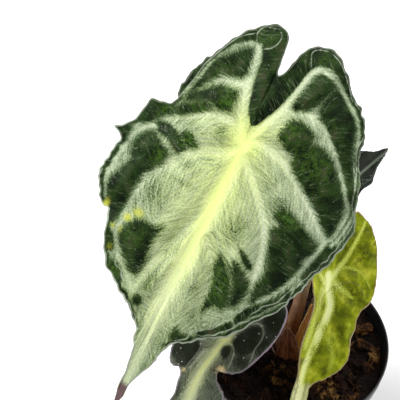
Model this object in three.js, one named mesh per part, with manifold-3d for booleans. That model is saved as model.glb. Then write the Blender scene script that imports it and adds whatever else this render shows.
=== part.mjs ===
// Potted venom alocasia: four leaves on one short stem, in peat, in a 12 cm nursery pot.
// Millimetres, +Z up. The origin is the middle of the pot's foot, on the surface it stands on.
// The plant is looked at from -Y, so each leaf turns its upper face towards -Y and up.
import * as THREE from 'three';
import { mergeVertices } from 'three/addons/utils/BufferGeometryUtils.js';
import Module from 'manifold-3d';

const wasm = await Module();
wasm.setup();

// Clearance between two pieces that touch on the real plant
const GAP = 0.3;

// Roughness of the smooth and of the dull surfaces
const SATIN = 0.5;
const MATT = 0.95;

// Pot: a tapered 12 cm pot with a band round its rim and a raised ring of drain holes
const POT_HEIGHT = 95;
const RIM_RADIUS = 60;
const FOOT_RADIUS = 43;
const POT_WALL = 1.2;
const POT_FLOOR = 1.5;
const BAND_HEIGHT = 10;
const BAND_STEP = 0.9;
const PAD_RADIUS = 24;
const RING_INNER = 26;
const RING_OUTER = 36;
const RING_END = 38;
const RING_LIFT = 2.5;
const DRAIN_HOLES = 8;
const DRAIN_RADIUS = 3.5;
const DRILL_LENGTH = 12;
const DRILL_SIDES = 16;
const POT_EDGE = 0.5;
const POT_SIDES = 36;
const POT_COLOUR = 0x121213;

// Soil: peat to 8 mm below the rim, uneven, with lumps of coir
const SOIL_TOP = 87;
const SOIL_GAP = 0.4;
const SOIL_RINGS = [0.22, 0.4, 0.58, 0.76, 0.93];
const SOIL_SHOULDER = 1;
const SOIL_LEVEL_FROM = 0.8;
const SOIL_COLOUR = 0x1d1512;
// Waves of the soil's surface: height, radians per millimetre along x and along y, and lag
const SOIL_WAVES = [
  [0.55, 0.21, -0.19, 2.87], [0.55, 0.21, 0.19, -0.27], [0.7, 0.47, 0.39, 0], [0.4, 0.83, -0.7, 0],
];
const LUMPS = 42;
const LUMP_MIN = 2.4;
const LUMP_MAX = 6;
const LUMP_CLEAR = 15;
const LUMP_DEPTH_MIN = 0.6;
const LUMP_HEIGHT = 0.6;
const LUMP_TILT = 0.4;
const LUMP_LIFT = 0.1;
const LUMP_SEED = 11;

// Stem: the short stump that all petioles grow from, its foot down in the soil
const STEM_FOOT = 68;
const STEM_TOP = 93;
const STEM_RADIUS = 10.5;
const STEM_SIDES = 16;
const STEM_BLUNT = 0.5;
const STEM_FOOT_TAPER = 8;
const STEM_TOP_TAPER = 5;
const STEM_SHOULDER = 0.84;
const STEM_SHOULDER_DROP = 1.2;
const STEM_COLOUR = 0x6b3f2c;

// Leaf stalks: the line that each follows, and its radius at the foot and at the blade
const PETIOLES = [
  {
    name: 'petiole_1', foot: 3.6, head: 2.3,
    line: [[-0.5, 1, 80], [0, 2.5, 90], [3, 9, 104], [5.5, 13, 118], [5, 23, 150], [-2, 31, 185],
      [-13, 33, 212], [-26, 28, 227], [-33, 20, 235], [-34, 13.4, 241.6]],
  },
  {
    name: 'petiole_2', foot: 2.6, head: 1.7,
    line: [[-6.2, -3.2, 80], [-7, -3.2, 91], [-9.5, -4, 103], [-17, -9, 113], [-29, -16, 117],
      [-38, -20.5, 120.5], [-40.9, -23.8, 126.5]],
  },
  {
    name: 'petiole_3', foot: 2.6, head: 1.9,
    line: [[5.2, -3, 80], [6.6, -1, 91], [9.5, 6, 102], [13, 11, 112], [17, 14, 122],
      [19.2, 12.5, 130], [20, 6.4, 136.6]],
  },
  {
    name: 'petiole_4', foot: 2.2, head: 1.6,
    line: [[3.6, 6.6, 80], [4.6, 9, 92], [8.6, 19, 106], [14, 33, 124], [19, 48, 139],
      [19.8, 53.5, 147], [19, 53, 154.6]],
  },
];
const PETIOLE_SIDES = 8;
const PETIOLE_RINGS = 15;
const PETIOLE_TAPER = 0.6;
const PETIOLE_COLOUR = 0x7d5546;

// Papery sheaths round the petiole bases: where each stands, how far round and how high it goes
const SHEATHS = [
  {
    name: 'sheath_front', facing: -98, span: 40, foot: 83, tip: 105, footRadius: 11.4, tipRadius: 8,
    lean: [1, 2.5],
  },
  {
    name: 'sheath_right', facing: -24, span: 28, foot: 83, tip: 111, footRadius: 11.4, tipRadius: 6,
    lean: [9.5, 9],
  },
  {
    name: 'sheath_left', facing: 190, span: 30, foot: 83, tip: 97, footRadius: 11.4, tipRadius: 11.6,
    lean: [-2, 0],
  },
];
const SHEATH_THICK = 0.8;
const SHEATH_ACROSS = 8;
const SHEATH_UP = 6;
const SHEATH_POINT = 0.06;
const SHEATH_CURVE = 1.6;
const SHEATH_COLOUR = 0x8a4a2e;

// Leaves. Each is drawn flat in its own plane round the point where its petiole joins:
// x across, y towards the two rear lobes, so that the tip is at -y. The turn sets that plane.
// form is how far the flat leaf bends out of its plane; puff lifts the fields between the veins.
const LEAVES = [
  {
    name: 'blade_1', at: [-34, 13, 242], turn: [45, 0, -26], pole: [0, 0], spokes: 112, rings: 10,
    outline: [[2, 40], [7, 55], [13, 62], [21, 63], [28, 59], [36, 52], [46, 43], [52, 36], [55, 30],
      [56, 24], [60, 15], [65, 3], [68, -5], [72, -14], [71, -23], [69, -30], [66, -40], [60, -55], [54, -70],
      [47, -78], [40, -88], [32, -95], [21, -103], [13, -109], [10, -115], [8, -121], [4, -130],
      [0, -142], [-2, -151], [-3, -141], [-2, -128], [-4, -120], [-7, -115], [-7, -109], [-13, -104],
      [-18, -100], [-26, -94], [-34, -89], [-42, -76], [-48, -62], [-53, -58], [-60, -45], [-60, -37],
      [-58, -26], [-63, -20], [-55, -12], [-51, 1], [-42, 3], [-41, 11], [-40, 18], [-37, 29],
      [-32, 37], [-23, 53], [-16, 60], [-9, 62], [-4, 60], [-1, 50]],
    veins: [
      [[0, 0], [2, -16], [3, -40], [3, -69], [1, -96], [0, -136]],
      [[0, 0], [-10, 18], [-13, 31], [-14, 46]],
      [[0, 0], [4, 5], [9, 20], [12, 29], [14, 40], [21, 52]],
      [[-15, 27], [-24, 25], [-33, 13], [-38, 7]],
      [[0, 0], [-8, 9], [-20, 6], [-31, 0], [-39, -4], [-47, -12], [-53, -29], [-53, -50]],
      [[0, 0], [-3, -7], [-16, -13], [-24, -22], [-34, -45], [-40, -65]],
      [[0, -34], [-5, -47], [-15, -75], [-19, -88]],
      [[12, 23], [19, 27], [34, 25], [49, 11], [64, -7], [65, -14], [62, -26]],
      [[10, 4], [18, 2], [28, -3], [46, -16], [60, -27], [53, -53], [39, -72]],
      [[4, -12], [22, -26], [34, -44], [37, -63], [39, -72]],
      [[4, -54], [12, -59], [15, -70], [17, -88]],
    ],
    form: (x, y) => -9 * (x / 60) ** 2 - 16 * (below(-30, y) / 110) ** 2 - 5 * (below(-10, -y) / 50) ** 2,
    puff: 2.4, puffWidth: 6, ruffle: 2.2, waves: 17, ripples: 27, thick: 0.9, rib: 1.6, tipThick: 0,
    colour: 0x3f5f3d,
  },
  {
    name: 'blade_2', at: [-41, -24, 127], turn: [23, -15, -34], pole: [0, -14], spokes: 76, rings: 8,
    outline: [[0, 15], [4, 26], [10, 33], [16, 35], [22, 31], [25, 22], [25, 14], [24, 8], [22, 1],
      [19, -10], [16, -14], [11, -16], [7, -19], [9, -24], [14, -28], [18, -34], [20, -44], [18, -54],
      [13, -64], [6, -74], [0, -84], [-4, -74], [-9, -62], [-10, -52], [-9, -42], [-11, -35], [-15, -29],
      [-20, -29], [-24, -26], [-27, -19], [-30, -8], [-29, 6], [-25, 19], [-18, 29], [-10, 31], [-4, 25]],
    veins: [
      [[0, 0], [-1, -11], [-2, -21], [-1, -30], [1, -40], [1, -78]],
      [[0, 0], [6, 11], [11, 18], [16, 16], [18, 9], [19, -4]],
      [[0, 0], [6, -2], [9, -5], [10, -12]],
      [[0, 0], [-9, 8], [-18, 4], [-22, -8], [-19, -22]],
      [[0, 0], [-10, -8], [-14, -22]],
      [[-1, -26], [8, -34], [12, -48]],
    ],
    form: (x, y) => -4 * (x / 32) ** 2 - 5 * (below(-20, y) / 60) ** 2,
    puff: 1.6, puffWidth: 4, ruffle: 1, waves: 9, ripples: 14, thick: 0.8, rib: 1, tipThick: 0,
    colour: 0x3d4744,
  },
  {
    name: 'blade_3', at: [20, 6, 137], turn: [42, 6, -17], pole: [3, -5], spokes: 76, rings: 8,
    outline: [[-1, 22], [0, 36], [4, 47], [9, 45], [15, 41], [18, 36], [22, 29], [25, 21], [27, 13], [28, 4],
      [27, -3], [23, -9], [22, -14], [23, -20], [22, -26], [23, -34], [23, -39], [20, -46], [13, -53],
      [8, -57], [6, -61], [6, -68], [4, -75], [1, -78], [-3, -75], [-4, -68], [-3, -56], [-7, -47],
      [-8, -37], [-7, -28], [-7, -19], [-8, -11], [-12, -3], [-16, 5], [-17, 15], [-15, 25], [-10, 32],
      [-5, 32]],
    veins: [
      [[0, 0], [4, -8], [5, -16], [2, -26], [2, -48], [2, -72]],
      [[0, 0], [4, 24], [10, 42]],
      [[0, 0], [-7, 8], [-11, 22]],
      [[1, 4], [6, 10], [19, 11], [24, 7]],
      [[2, -1], [8, 0], [16, -4]],
      [[2, -20], [12, -26], [18, -38]],
    ],
    form: (x, y) => (x > 0 ? -3 * (x / 28) ** 2 : -0.9 * x) + 5 * (below(-45, y) / 30) ** 2,
    puff: 1.4, puffWidth: 4, ruffle: 1, waves: 8, ripples: 13, thick: 0.8, rib: 1, tipThick: 3,
    colour: 0x8ea02c,
  },
  {
    name: 'blade_4', at: [19, 53, 155], turn: [18, 6, 134], pole: [0, 0], spokes: 52, rings: 6,
    outline: [[-1, 10], [5, 22], [11, 24], [18, 19], [24, 10], [26, -2], [25, -15], [21, -28], [16, -40],
      [11, -50], [5, -56], [1, -67], [-2, -57], [-4, -49], [-8, -41], [-11, -36], [-12, -28], [-16, -21],
      [-21, -12], [-23, 0], [-21, 10], [-16, 18], [-10, 23], [-5, 22]],
    veins: [
      [[0, 0], [0, -30], [0, -62]],
      [[0, 0], [9, 12], [14, 16]],
      [[0, 0], [-9, 12], [-13, 15]],
      [[0, -6], [14, -12], [20, -22]],
      [[0, -6], [-10, -12], [-16, -18]],
      [[0, -30], [8, -38], [12, -44]],
    ],
    form: (x, y) => -3 * (x / 30) ** 2 - 4 * (below(-20, y) / 50) ** 2,
    puff: 1.2, puffWidth: 4, ruffle: 0.8, waves: 7, ripples: 11, thick: 0.8, rib: 0.8, tipThick: 0,
    colour: 0x26332b,
  },
];
const RIM_START = 0.6;
const RIM_FLATTER = 0.7;
const WAVE_SHARE = 0.7;
const RIPPLE_SHARE = 0.3;
const RIPPLE_LAG = 1;
const RIB_WIDTH = 2.5;
const TIP_FROM = -50;
const TIP_LENGTH = 14;

function below(limit, value) {
  return Math.max(0, limit - value);
}

function smooth(from, to, value) {
  const t = Math.min(1, Math.max(0, (value - from) / (to - from)));
  return t * t * (3 - 2 * t);
}

// A seeded random number source, so that every build is the same
function seeded(seed) {
  let state = seed;
  return () => {
    state = (state + 0x6d2b79f5) | 0;
    let t = Math.imul(state ^ (state >>> 15), 1 | state);
    t = (t + Math.imul(t ^ (t >>> 7), 61 | t)) ^ t;
    return ((t ^ (t >>> 14)) >>> 0) / 4294967296;
  };
}

// A closed geometry as a solid that can be joined and cut
function solid(geometry) {
  const bare = geometry.clone();
  bare.deleteAttribute('normal');
  bare.deleteAttribute('uv');
  const merged = mergeVertices(bare, 1e-4);
  return new wasm.Manifold(new wasm.Mesh({
    numProp: 3,
    vertProperties: new Float32Array(merged.attributes.position.array),
    triVerts: new Uint32Array(merged.index.array),
  }));
}

// The largest body of a solid, without the loose crumbs that a cut leaves
function largest(body) {
  return body.decompose().reduce((most, part) => (part.volume() > most.volume() ? part : most));
}

// A solid back as a geometry
function shape(body) {
  const mesh = body.getMesh();
  const geometry = new THREE.BufferGeometry();
  geometry.setAttribute('position', new THREE.BufferAttribute(mesh.vertProperties, 3));
  geometry.setIndex(new THREE.BufferAttribute(mesh.triVerts, 1));
  geometry.computeVertexNormals();
  return geometry;
}

// A geometry from points and the triangles that join them
function faceted(points, index) {
  const geometry = new THREE.BufferGeometry();
  geometry.setAttribute('position', new THREE.Float32BufferAttribute(points.flat(), 3));
  geometry.setIndex(index);
  geometry.computeVertexNormals();
  return geometry;
}

// A profile of [radius, height] turned round the Z axis
function turned(profile, sides = POT_SIDES) {
  const points = profile.map(([radius, height]) => new THREE.Vector2(radius, height));
  return new THREE.LatheGeometry(points, sides).rotateX(Math.PI / 2);
}

function piece(name, geometry, colour, roughness) {
  const material = new THREE.MeshStandardMaterial({ color: colour, roughness, metalness: 0 });
  const mesh = new THREE.Mesh(geometry, material);
  mesh.name = name;
  return mesh;
}

// Radius of the pot's inner wall at a height
function innerRadius(height) {
  const foot = FOOT_RADIUS - POT_WALL;
  const rim = RIM_RADIUS - POT_WALL;
  return foot + (rim - foot) * (height - POT_FLOOR) / (POT_HEIGHT - POT_FLOOR);
}

function makePot() {
  const bandFoot = POT_HEIGHT - BAND_HEIGHT;
  const wallTop = innerRadius(bandFoot) + POT_WALL;
  let pot = solid(turned([
    [0, 0], [PAD_RADIUS, 0], [RING_INNER, RING_LIFT], [RING_OUTER, RING_LIFT], [RING_END, 0],
    [FOOT_RADIUS - 2 * POT_EDGE, 0], [FOOT_RADIUS, 2 * POT_EDGE], [wallTop, bandFoot],
    [wallTop + BAND_STEP, bandFoot + POT_EDGE], [RIM_RADIUS, POT_HEIGHT - POT_EDGE],
    [RIM_RADIUS - POT_EDGE, POT_HEIGHT], [RIM_RADIUS - POT_WALL, POT_HEIGHT],
    [innerRadius(POT_FLOOR), POT_FLOOR], [RING_END - POT_EDGE, POT_FLOOR],
    [RING_OUTER - POT_EDGE, RING_LIFT + POT_FLOOR], [RING_INNER + POT_EDGE, RING_LIFT + POT_FLOOR],
    [PAD_RADIUS + POT_EDGE, POT_FLOOR], [0, POT_FLOOR],
  ]));
  const ringMiddle = (RING_INNER + RING_OUTER) / 2;
  for (let i = 0; i < DRAIN_HOLES; i += 1) {
    const angle = (i + 0.5) * 2 * Math.PI / DRAIN_HOLES;
    const drill = new THREE.CylinderGeometry(DRAIN_RADIUS, DRAIN_RADIUS, DRILL_LENGTH, DRILL_SIDES);
    drill.rotateX(Math.PI / 2);
    drill.translate(ringMiddle * Math.cos(angle), ringMiddle * Math.sin(angle), RING_LIFT);
    pot = pot.subtract(solid(drill));
  }
  return piece('pot', shape(pot), POT_COLOUR, SATIN);
}

// Height of the uneven soil above its level
function clod(x, y) {
  return SOIL_WAVES.reduce((sum, [height, alongX, alongY, lag]) => (
    sum + height * Math.sin(alongX * x + alongY * y + lag)
  ), 0);
}

function makeSoil(holes) {
  const wall = innerRadius(SOIL_TOP) - SOIL_GAP;
  const foot = POT_FLOOR + SOIL_GAP;
  const top = SOIL_RINGS.map((share) => [share * wall, SOIL_TOP]).reverse();
  const geometry = turned([
    [0, foot], [PAD_RADIUS, foot], [RING_INNER, RING_LIFT + foot], [RING_OUTER, RING_LIFT + foot],
    [RING_END, foot], [innerRadius(foot) - SOIL_GAP, foot], [wall, SOIL_TOP - SOIL_SHOULDER],
    ...top, [0, SOIL_TOP],
  ]);
  const position = geometry.attributes.position;
  for (let i = 0; i < position.count; i += 1) {
    const x = position.getX(i);
    const y = position.getY(i);
    if (position.getZ(i) > SOIL_TOP - SOIL_SHOULDER / 2) {
      const inside = 1 - smooth(SOIL_LEVEL_FROM, 1, Math.hypot(x, y) / wall);
      position.setZ(i, SOIL_TOP + clod(x, y) * inside);
    }
  }
  let soil = solid(geometry);
  const random = seeded(LUMP_SEED);
  for (let i = 0; i < LUMPS; i += 1) {
    const size = LUMP_MIN + (LUMP_MAX - LUMP_MIN) * random() ** 2;
    const angle = 2 * Math.PI * random();
    const far = LUMP_CLEAR + (wall - size - LUMP_CLEAR - 1) * Math.sqrt(random());
    const x = far * Math.cos(angle);
    const y = far * Math.sin(angle);
    const lump = new THREE.OctahedronGeometry(size, 0);
    lump.scale(1, LUMP_DEPTH_MIN + (1 - LUMP_DEPTH_MIN) * random(), LUMP_HEIGHT);
    lump.rotateX(LUMP_TILT * (2 * random() - 1));
    lump.rotateZ(2 * Math.PI * random());
    lump.translate(x, y, SOIL_TOP + clod(x, y) + LUMP_LIFT * size);
    soil = soil.add(solid(lump));
  }
  holes.forEach((hole) => {
    soil = soil.subtract(hole);
  });
  return piece('soil', shape(largest(soil)), SOIL_COLOUR, MATT);
}

// The stump, blunt at both ends, or with grow the hole that it stands in
function stemShape(grow) {
  const radius = STEM_RADIUS + grow;
  const blunt = radius * STEM_BLUNT;
  const foot = STEM_FOOT - grow;
  const top = STEM_TOP + grow;
  return turned([
    [0, foot], [blunt, foot], [radius, STEM_FOOT + STEM_FOOT_TAPER], [radius, STEM_TOP - STEM_TOP_TAPER],
    [radius * STEM_SHOULDER, top - STEM_SHOULDER_DROP], [blunt, top], [0, top],
  ], STEM_SIDES);
}

// A tube along a smooth line, thinner at its head, closed at both ends
function tube(line, foot, head, grow = 0) {
  const curve = new THREE.CatmullRomCurve3(line.map((p) => new THREE.Vector3(...p)), false, 'centripetal');
  const frames = curve.computeFrenetFrames(PETIOLE_RINGS, false);
  const centres = curve.getSpacedPoints(PETIOLE_RINGS);
  const points = [];
  centres.forEach((centre, i) => {
    const radius = foot + (head - foot) * smooth(0, PETIOLE_TAPER, i / PETIOLE_RINGS) + grow;
    for (let j = 0; j < PETIOLE_SIDES; j += 1) {
      const angle = 2 * Math.PI * j / PETIOLE_SIDES;
      const side = frames.normals[i].clone().multiplyScalar(radius * Math.cos(angle))
        .addScaledVector(frames.binormals[i], radius * Math.sin(angle));
      points.push(centre.clone().add(side).toArray());
    }
  });
  const start = centres[0].clone().addScaledVector(frames.tangents[0], -grow);
  points.push(start.toArray(), centres[PETIOLE_RINGS].toArray());
  const index = [];
  const last = PETIOLE_RINGS * PETIOLE_SIDES;
  for (let j = 0; j < PETIOLE_SIDES; j += 1) {
    const next = (j + 1) % PETIOLE_SIDES;
    index.push(points.length - 2, next, j);
    index.push(points.length - 1, last + j, last + next);
    for (let i = 0; i < PETIOLE_RINGS; i += 1) {
      const a = i * PETIOLE_SIDES + j;
      const b = i * PETIOLE_SIDES + next;
      index.push(a, b, b + PETIOLE_SIDES, a, b + PETIOLE_SIDES, a + PETIOLE_SIDES);
    }
  }
  return faceted(points, index);
}

// A thin pointed scale standing round the stem, which it follows upwards as it narrows
function sheathShape(sheath, grow = 0) {
  const across = SHEATH_ACROSS;
  const up = SHEATH_UP;
  const half = SHEATH_THICK / 2 + grow;
  const sideways = THREE.MathUtils.radToDeg(grow / sheath.tipRadius);
  const index = [];
  const points = [];
  [half, -half].forEach((offset) => {
    for (let i = 0; i <= up; i += 1) {
      const v = i / up;
      const spread = Math.max(SHEATH_POINT, Math.sqrt(1 - v ** SHEATH_CURVE)) * (sheath.span + sideways);
      const radius = sheath.footRadius + (sheath.tipRadius - sheath.footRadius) * v + offset;
      for (let j = 0; j <= across; j += 1) {
        const angle = THREE.MathUtils.degToRad(sheath.facing + spread * (2 * j / across - 1));
        points.push([
          radius * Math.cos(angle) + sheath.lean[0] * v * v,
          radius * Math.sin(angle) + sheath.lean[1] * v * v,
          sheath.foot - grow + (sheath.tip - sheath.foot + 2 * grow) * v,
        ]);
      }
    }
  });
  const row = across + 1;
  const inner = row * (up + 1);
  for (let i = 0; i < up; i += 1) {
    for (let j = 0; j < across; j += 1) {
      const a = i * row + j;
      index.push(a, a + 1, a + row + 1, a, a + row + 1, a + row);
      const b = inner + a;
      index.push(b, b + row + 1, b + 1, b, b + row, b + row + 1);
    }
    const left = i * row;
    const right = i * row + across;
    index.push(left, left + row, inner + left + row, left, inner + left + row, inner + left);
    index.push(right, inner + right + row, right + row, right, inner + right, inner + right + row);
  }
  for (let j = 0; j < across; j += 1) {
    const top = up * row + j;
    index.push(j, inner + j + 1, j + 1, j, inner + j, inner + j + 1);
    index.push(top, top + 1, inner + top + 1, top, inner + top + 1, inner + top);
  }
  return faceted(points, index);
}

// Distance in the leaf's plane from a point to the nearest vein
function veinDistance(x, y, veins) {
  let nearest = Infinity;
  veins.forEach((vein) => {
    for (let i = 1; i < vein.length; i += 1) {
      const [ax, ay] = vein[i - 1];
      const dx = vein[i][0] - ax;
      const dy = vein[i][1] - ay;
      const along = ((x - ax) * dx + (y - ay) * dy) / (dx * dx + dy * dy);
      const t = Math.min(1, Math.max(0, along));
      nearest = Math.min(nearest, Math.hypot(x - ax - t * dx, y - ay - t * dy));
    }
  });
  return nearest;
}

// One leaf blade: spokes from its pole to the margin, crossed by rings, on an upper and a lower face
function bladeShape(leaf) {
  const margin = new THREE.CatmullRomCurve3(
    leaf.outline.map(([x, y]) => new THREE.Vector3(x, y, 0)), true, 'centripetal',
  ).getSpacedPoints(leaf.spokes);
  const flat = [[...leaf.pole, 0, 0]];
  for (let i = 1; i <= leaf.rings; i += 1) {
    const share = i / leaf.rings;
    for (let k = 0; k < leaf.spokes; k += 1) {
      const x = leaf.pole[0] + (margin[k].x - leaf.pole[0]) * share;
      const y = leaf.pole[1] + (margin[k].y - leaf.pole[1]) * share;
      flat.push([x, y, share, k / leaf.spokes]);
    }
  }
  const upper = flat.map(([x, y, share, round]) => {
    const rim = smooth(RIM_START, 1, share);
    const field = 1 - Math.exp(-((veinDistance(x, y, leaf.veins) / leaf.puffWidth) ** 2));
    const wave = WAVE_SHARE * Math.sin(2 * Math.PI * leaf.waves * round)
      + RIPPLE_SHARE * Math.sin(2 * Math.PI * leaf.ripples * round + RIPPLE_LAG);
    return [x, y, leaf.form(x, y) + leaf.puff * field * (1 - RIM_FLATTER * rim) + leaf.ruffle * wave * rim];
  });
  const index = [];
  for (let k = 0; k < leaf.spokes; k += 1) {
    const next = (k + 1) % leaf.spokes;
    index.push(0, 1 + next, 1 + k);
    for (let i = 0; i < leaf.rings - 1; i += 1) {
      const a = 1 + i * leaf.spokes + k;
      const b = 1 + i * leaf.spokes + next;
      index.push(a, b, b + leaf.spokes, a, b + leaf.spokes, a + leaf.spokes);
    }
  }
  const normals = faceted(upper, index).attributes.normal;
  const lower = upper.map(([x, y, z], i) => {
    const nearVein = Math.exp(-((veinDistance(x, y, leaf.veins) / RIB_WIDTH) ** 2));
    const thick = leaf.thick + leaf.rib * nearVein * (1 - flat[i][2])
      + leaf.tipThick * smooth(0, TIP_LENGTH, TIP_FROM - y);
    return [x - thick * normals.getX(i), y - thick * normals.getY(i), z - thick * normals.getZ(i)];
  });
  const count = upper.length;
  const faces = [...index];
  for (let i = 0; i < index.length; i += 3) {
    faces.push(index[i] + count, index[i + 2] + count, index[i + 1] + count);
  }
  const edge = count - leaf.spokes;
  for (let k = 0; k < leaf.spokes; k += 1) {
    const a = edge + k;
    const b = edge + (k + 1) % leaf.spokes;
    faces.push(a, b, b + count, a, b + count, a + count);
  }
  return faceted([...upper, ...lower], faces);
}

// Puts a leaf's own frame where its petiole joins
function place(leaf) {
  const turn = new THREE.Euler(...leaf.turn.map(THREE.MathUtils.degToRad), 'XYZ');
  return new THREE.Matrix4().makeRotationFromEuler(turn).setPosition(...leaf.at);
}

const group = new THREE.Group();
group.name = 'potted_venom_alocasia';

const blades = LEAVES.map((leaf) => bladeShape(leaf).applyMatrix4(place(leaf)));

// A petiole stops just under its blade: the blade, lowered by the clearance, cuts it to length
const petioles = PETIOLES.map((petiole, i) => {
  const face = new THREE.Vector3(0, 0, 1).transformDirection(place(LEAVES[i]));
  const lowered = blades[i].clone().translate(...face.multiplyScalar(-GAP).toArray());
  const stalk = solid(tube(petiole.line, petiole.foot, petiole.head));
  return largest(stalk.subtract(solid(lowered)).subtract(solid(blades[i])));
});
const sockets = PETIOLES.map((petiole) => solid(tube(petiole.line, petiole.foot, petiole.head, GAP)));
let stem = solid(stemShape(0));
const grooves = SHEATHS.map((sheath) => solid(sheathShape(sheath, GAP)));
[...sockets, ...grooves].forEach((cutter) => {
  stem = stem.subtract(cutter);
});
const sheaths = SHEATHS.map((sheath) => {
  let body = solid(sheathShape(sheath));
  sockets.forEach((socket) => {
    body = body.subtract(socket);
  });
  return body;
});
const soilHoles = [solid(stemShape(GAP)), ...grooves, ...sockets];

group.add(makePot());
group.add(makeSoil(soilHoles));
group.add(piece('stem', shape(stem), STEM_COLOUR, SATIN));
SHEATHS.forEach((sheath, i) => group.add(piece(sheath.name, shape(sheaths[i]), SHEATH_COLOUR, SATIN)));
PETIOLES.forEach((petiole, i) => group.add(piece(petiole.name, shape(petioles[i]), PETIOLE_COLOUR, SATIN)));
LEAVES.forEach((leaf, i) => group.add(piece(leaf.name, blades[i], leaf.colour, SATIN)));

export default group;
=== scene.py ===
# Potted venom alocasia, looked down on from its front, in soft studio light on a pale floor.
import math

import bpy
import numpy as np
from mathutils import Euler, Matrix, Vector, noise


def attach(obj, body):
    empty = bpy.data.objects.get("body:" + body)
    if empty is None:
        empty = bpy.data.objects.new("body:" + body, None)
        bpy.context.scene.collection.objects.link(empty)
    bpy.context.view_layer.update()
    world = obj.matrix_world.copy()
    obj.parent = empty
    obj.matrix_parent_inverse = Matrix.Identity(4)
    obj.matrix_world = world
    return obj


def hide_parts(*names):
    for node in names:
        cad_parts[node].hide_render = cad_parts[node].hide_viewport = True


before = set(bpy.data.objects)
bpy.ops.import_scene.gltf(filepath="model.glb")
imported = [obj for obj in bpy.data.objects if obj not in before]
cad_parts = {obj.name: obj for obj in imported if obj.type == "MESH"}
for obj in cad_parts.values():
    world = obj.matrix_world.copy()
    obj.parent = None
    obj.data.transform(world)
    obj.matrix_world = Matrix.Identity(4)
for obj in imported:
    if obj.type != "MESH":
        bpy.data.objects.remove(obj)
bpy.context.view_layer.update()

MM = 0.001

# Nursery pot. Injection-moulded black polypropylene, 12 cm across its rim, with a band round the
# rim, a flat pad and a foot ring under the floor, and drain holes in the raised ring between them.
POT_HEIGHT = 95.0
RIM_RADIUS = 60.0
FOOT_RADIUS = 43.0
POT_WALL = 1.2
POT_FLOOR = 1.5
POT_BEVEL = 0.55
PAD_EDGE = 24.0
RING_START = 26.0
RING_END = 36.0
FOOT_START = 38.0
RING_LIFT = 2.5
BAND_HEIGHT = 10.0
BAND_STEP = 0.9
BAND_SLOPE = 0.4
DRAIN_HOLES = 8
DRAIN_RADIUS = 3.5
DRAIN_RING = 31.0
POT_SIDES = 144
AXIS = 0.5


def select_only(piece):
    bpy.ops.object.select_all(action="DESELECT")
    piece.select_set(True)
    bpy.context.view_layer.objects.active = piece


def turn_profile(name, profile, sides):
    """A ring is extruded from one [radius, height] of the profile to the next, and closed at both ends."""
    bpy.ops.object.select_all(action="DESELECT")
    radius, height = profile[0]
    bpy.ops.mesh.primitive_circle_add(
        vertices=sides, radius=radius * MM, fill_type="NGON", location=(0, 0, height * MM)
    )
    piece = bpy.context.object
    piece.name = name
    bpy.ops.object.transform_apply(location=True)
    bpy.ops.object.mode_set(mode="EDIT")
    bpy.ops.mesh.select_mode(type="EDGE")
    bpy.ops.mesh.select_all(action="SELECT")
    bpy.ops.mesh.region_to_loop()
    for next_radius, next_height in profile[1:]:
        bpy.ops.mesh.extrude_edges_move(
            TRANSFORM_OT_translate={"value": (0, 0, (next_height - height) * MM)}
        )
        scale = next_radius / radius
        bpy.ops.transform.resize(value=(scale, scale, 1), center_override=(0, 0, 0))
        radius, height = next_radius, next_height
    bpy.ops.mesh.edge_face_add()
    bpy.ops.mesh.select_all(action="SELECT")
    bpy.ops.mesh.normals_make_consistent(inside=False)
    bpy.ops.object.mode_set(mode="OBJECT")
    return piece


def inner_radius(height):
    foot = FOOT_RADIUS - POT_WALL
    rim = RIM_RADIUS - POT_WALL
    return foot + (rim - foot) * (height - POT_FLOOR) / (POT_HEIGHT - POT_FLOOR)


def rounded(points, bevel, steps=3):
    """Each corner of a profile, its ends apart, is taken round by a short curve of the bevel's size."""
    out = [points[0]]
    for before, corner, after in zip(points, points[1:], points[2:]):
        b, c, a = Vector(before), Vector(corner), Vector(after)
        reach_in = min(bevel, (b - c).length / 2.1)
        reach_out = min(bevel, (a - c).length / 2.1)
        start = c + (b - c).normalized() * reach_in
        end = c + (a - c).normalized() * reach_out
        for i in range(steps + 1):
            t = i / steps
            out.append(tuple(start * (1 - t) ** 2 + c * 2 * t * (1 - t) + end * t**2))
    out.append(points[-1])
    return out


# The profile runs from the middle of the underside out, up the wall, over the rim and back inside.
band_foot = POT_HEIGHT - BAND_HEIGHT
wall_top = inner_radius(band_foot) + POT_WALL
pot_profile = [
    (AXIS, 0.0), (PAD_EDGE, 0.0), (RING_START, RING_LIFT), (RING_END, RING_LIFT), (FOOT_START, 0.0),
    (FOOT_RADIUS, 0.0), (wall_top, band_foot), (wall_top + BAND_STEP, band_foot + BAND_SLOPE),
    (RIM_RADIUS, POT_HEIGHT), (RIM_RADIUS - POT_WALL, POT_HEIGHT), (inner_radius(POT_FLOOR), POT_FLOOR),
    (FOOT_START - 0.5, POT_FLOOR), (RING_END - 0.5, RING_LIFT + POT_FLOOR),
    (RING_START + 0.5, RING_LIFT + POT_FLOOR), (PAD_EDGE + 0.5, POT_FLOOR), (AXIS, POT_FLOOR),
]
pot = turn_profile("nursery_pot", rounded(pot_profile, POT_BEVEL), POT_SIDES)
for i in range(DRAIN_HOLES):
    angle = (i + 0.5) * 2 * math.pi / DRAIN_HOLES
    bpy.ops.mesh.primitive_cylinder_add(
        vertices=32, radius=DRAIN_RADIUS * MM, depth=12 * MM,
        location=(DRAIN_RING * MM * math.cos(angle), DRAIN_RING * MM * math.sin(angle), RING_LIFT * MM),
    )
    drill = bpy.context.object
    select_only(pot)
    cut = pot.modifiers.new("drain_hole", "BOOLEAN")
    cut.object = drill
    cut.operation = "DIFFERENCE"
    cut.solver = "EXACT"
    bpy.ops.object.modifier_apply(modifier=cut.name)
    bpy.data.objects.remove(drill)
bpy.ops.object.shade_smooth_by_angle(angle=math.radians(35))


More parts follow.
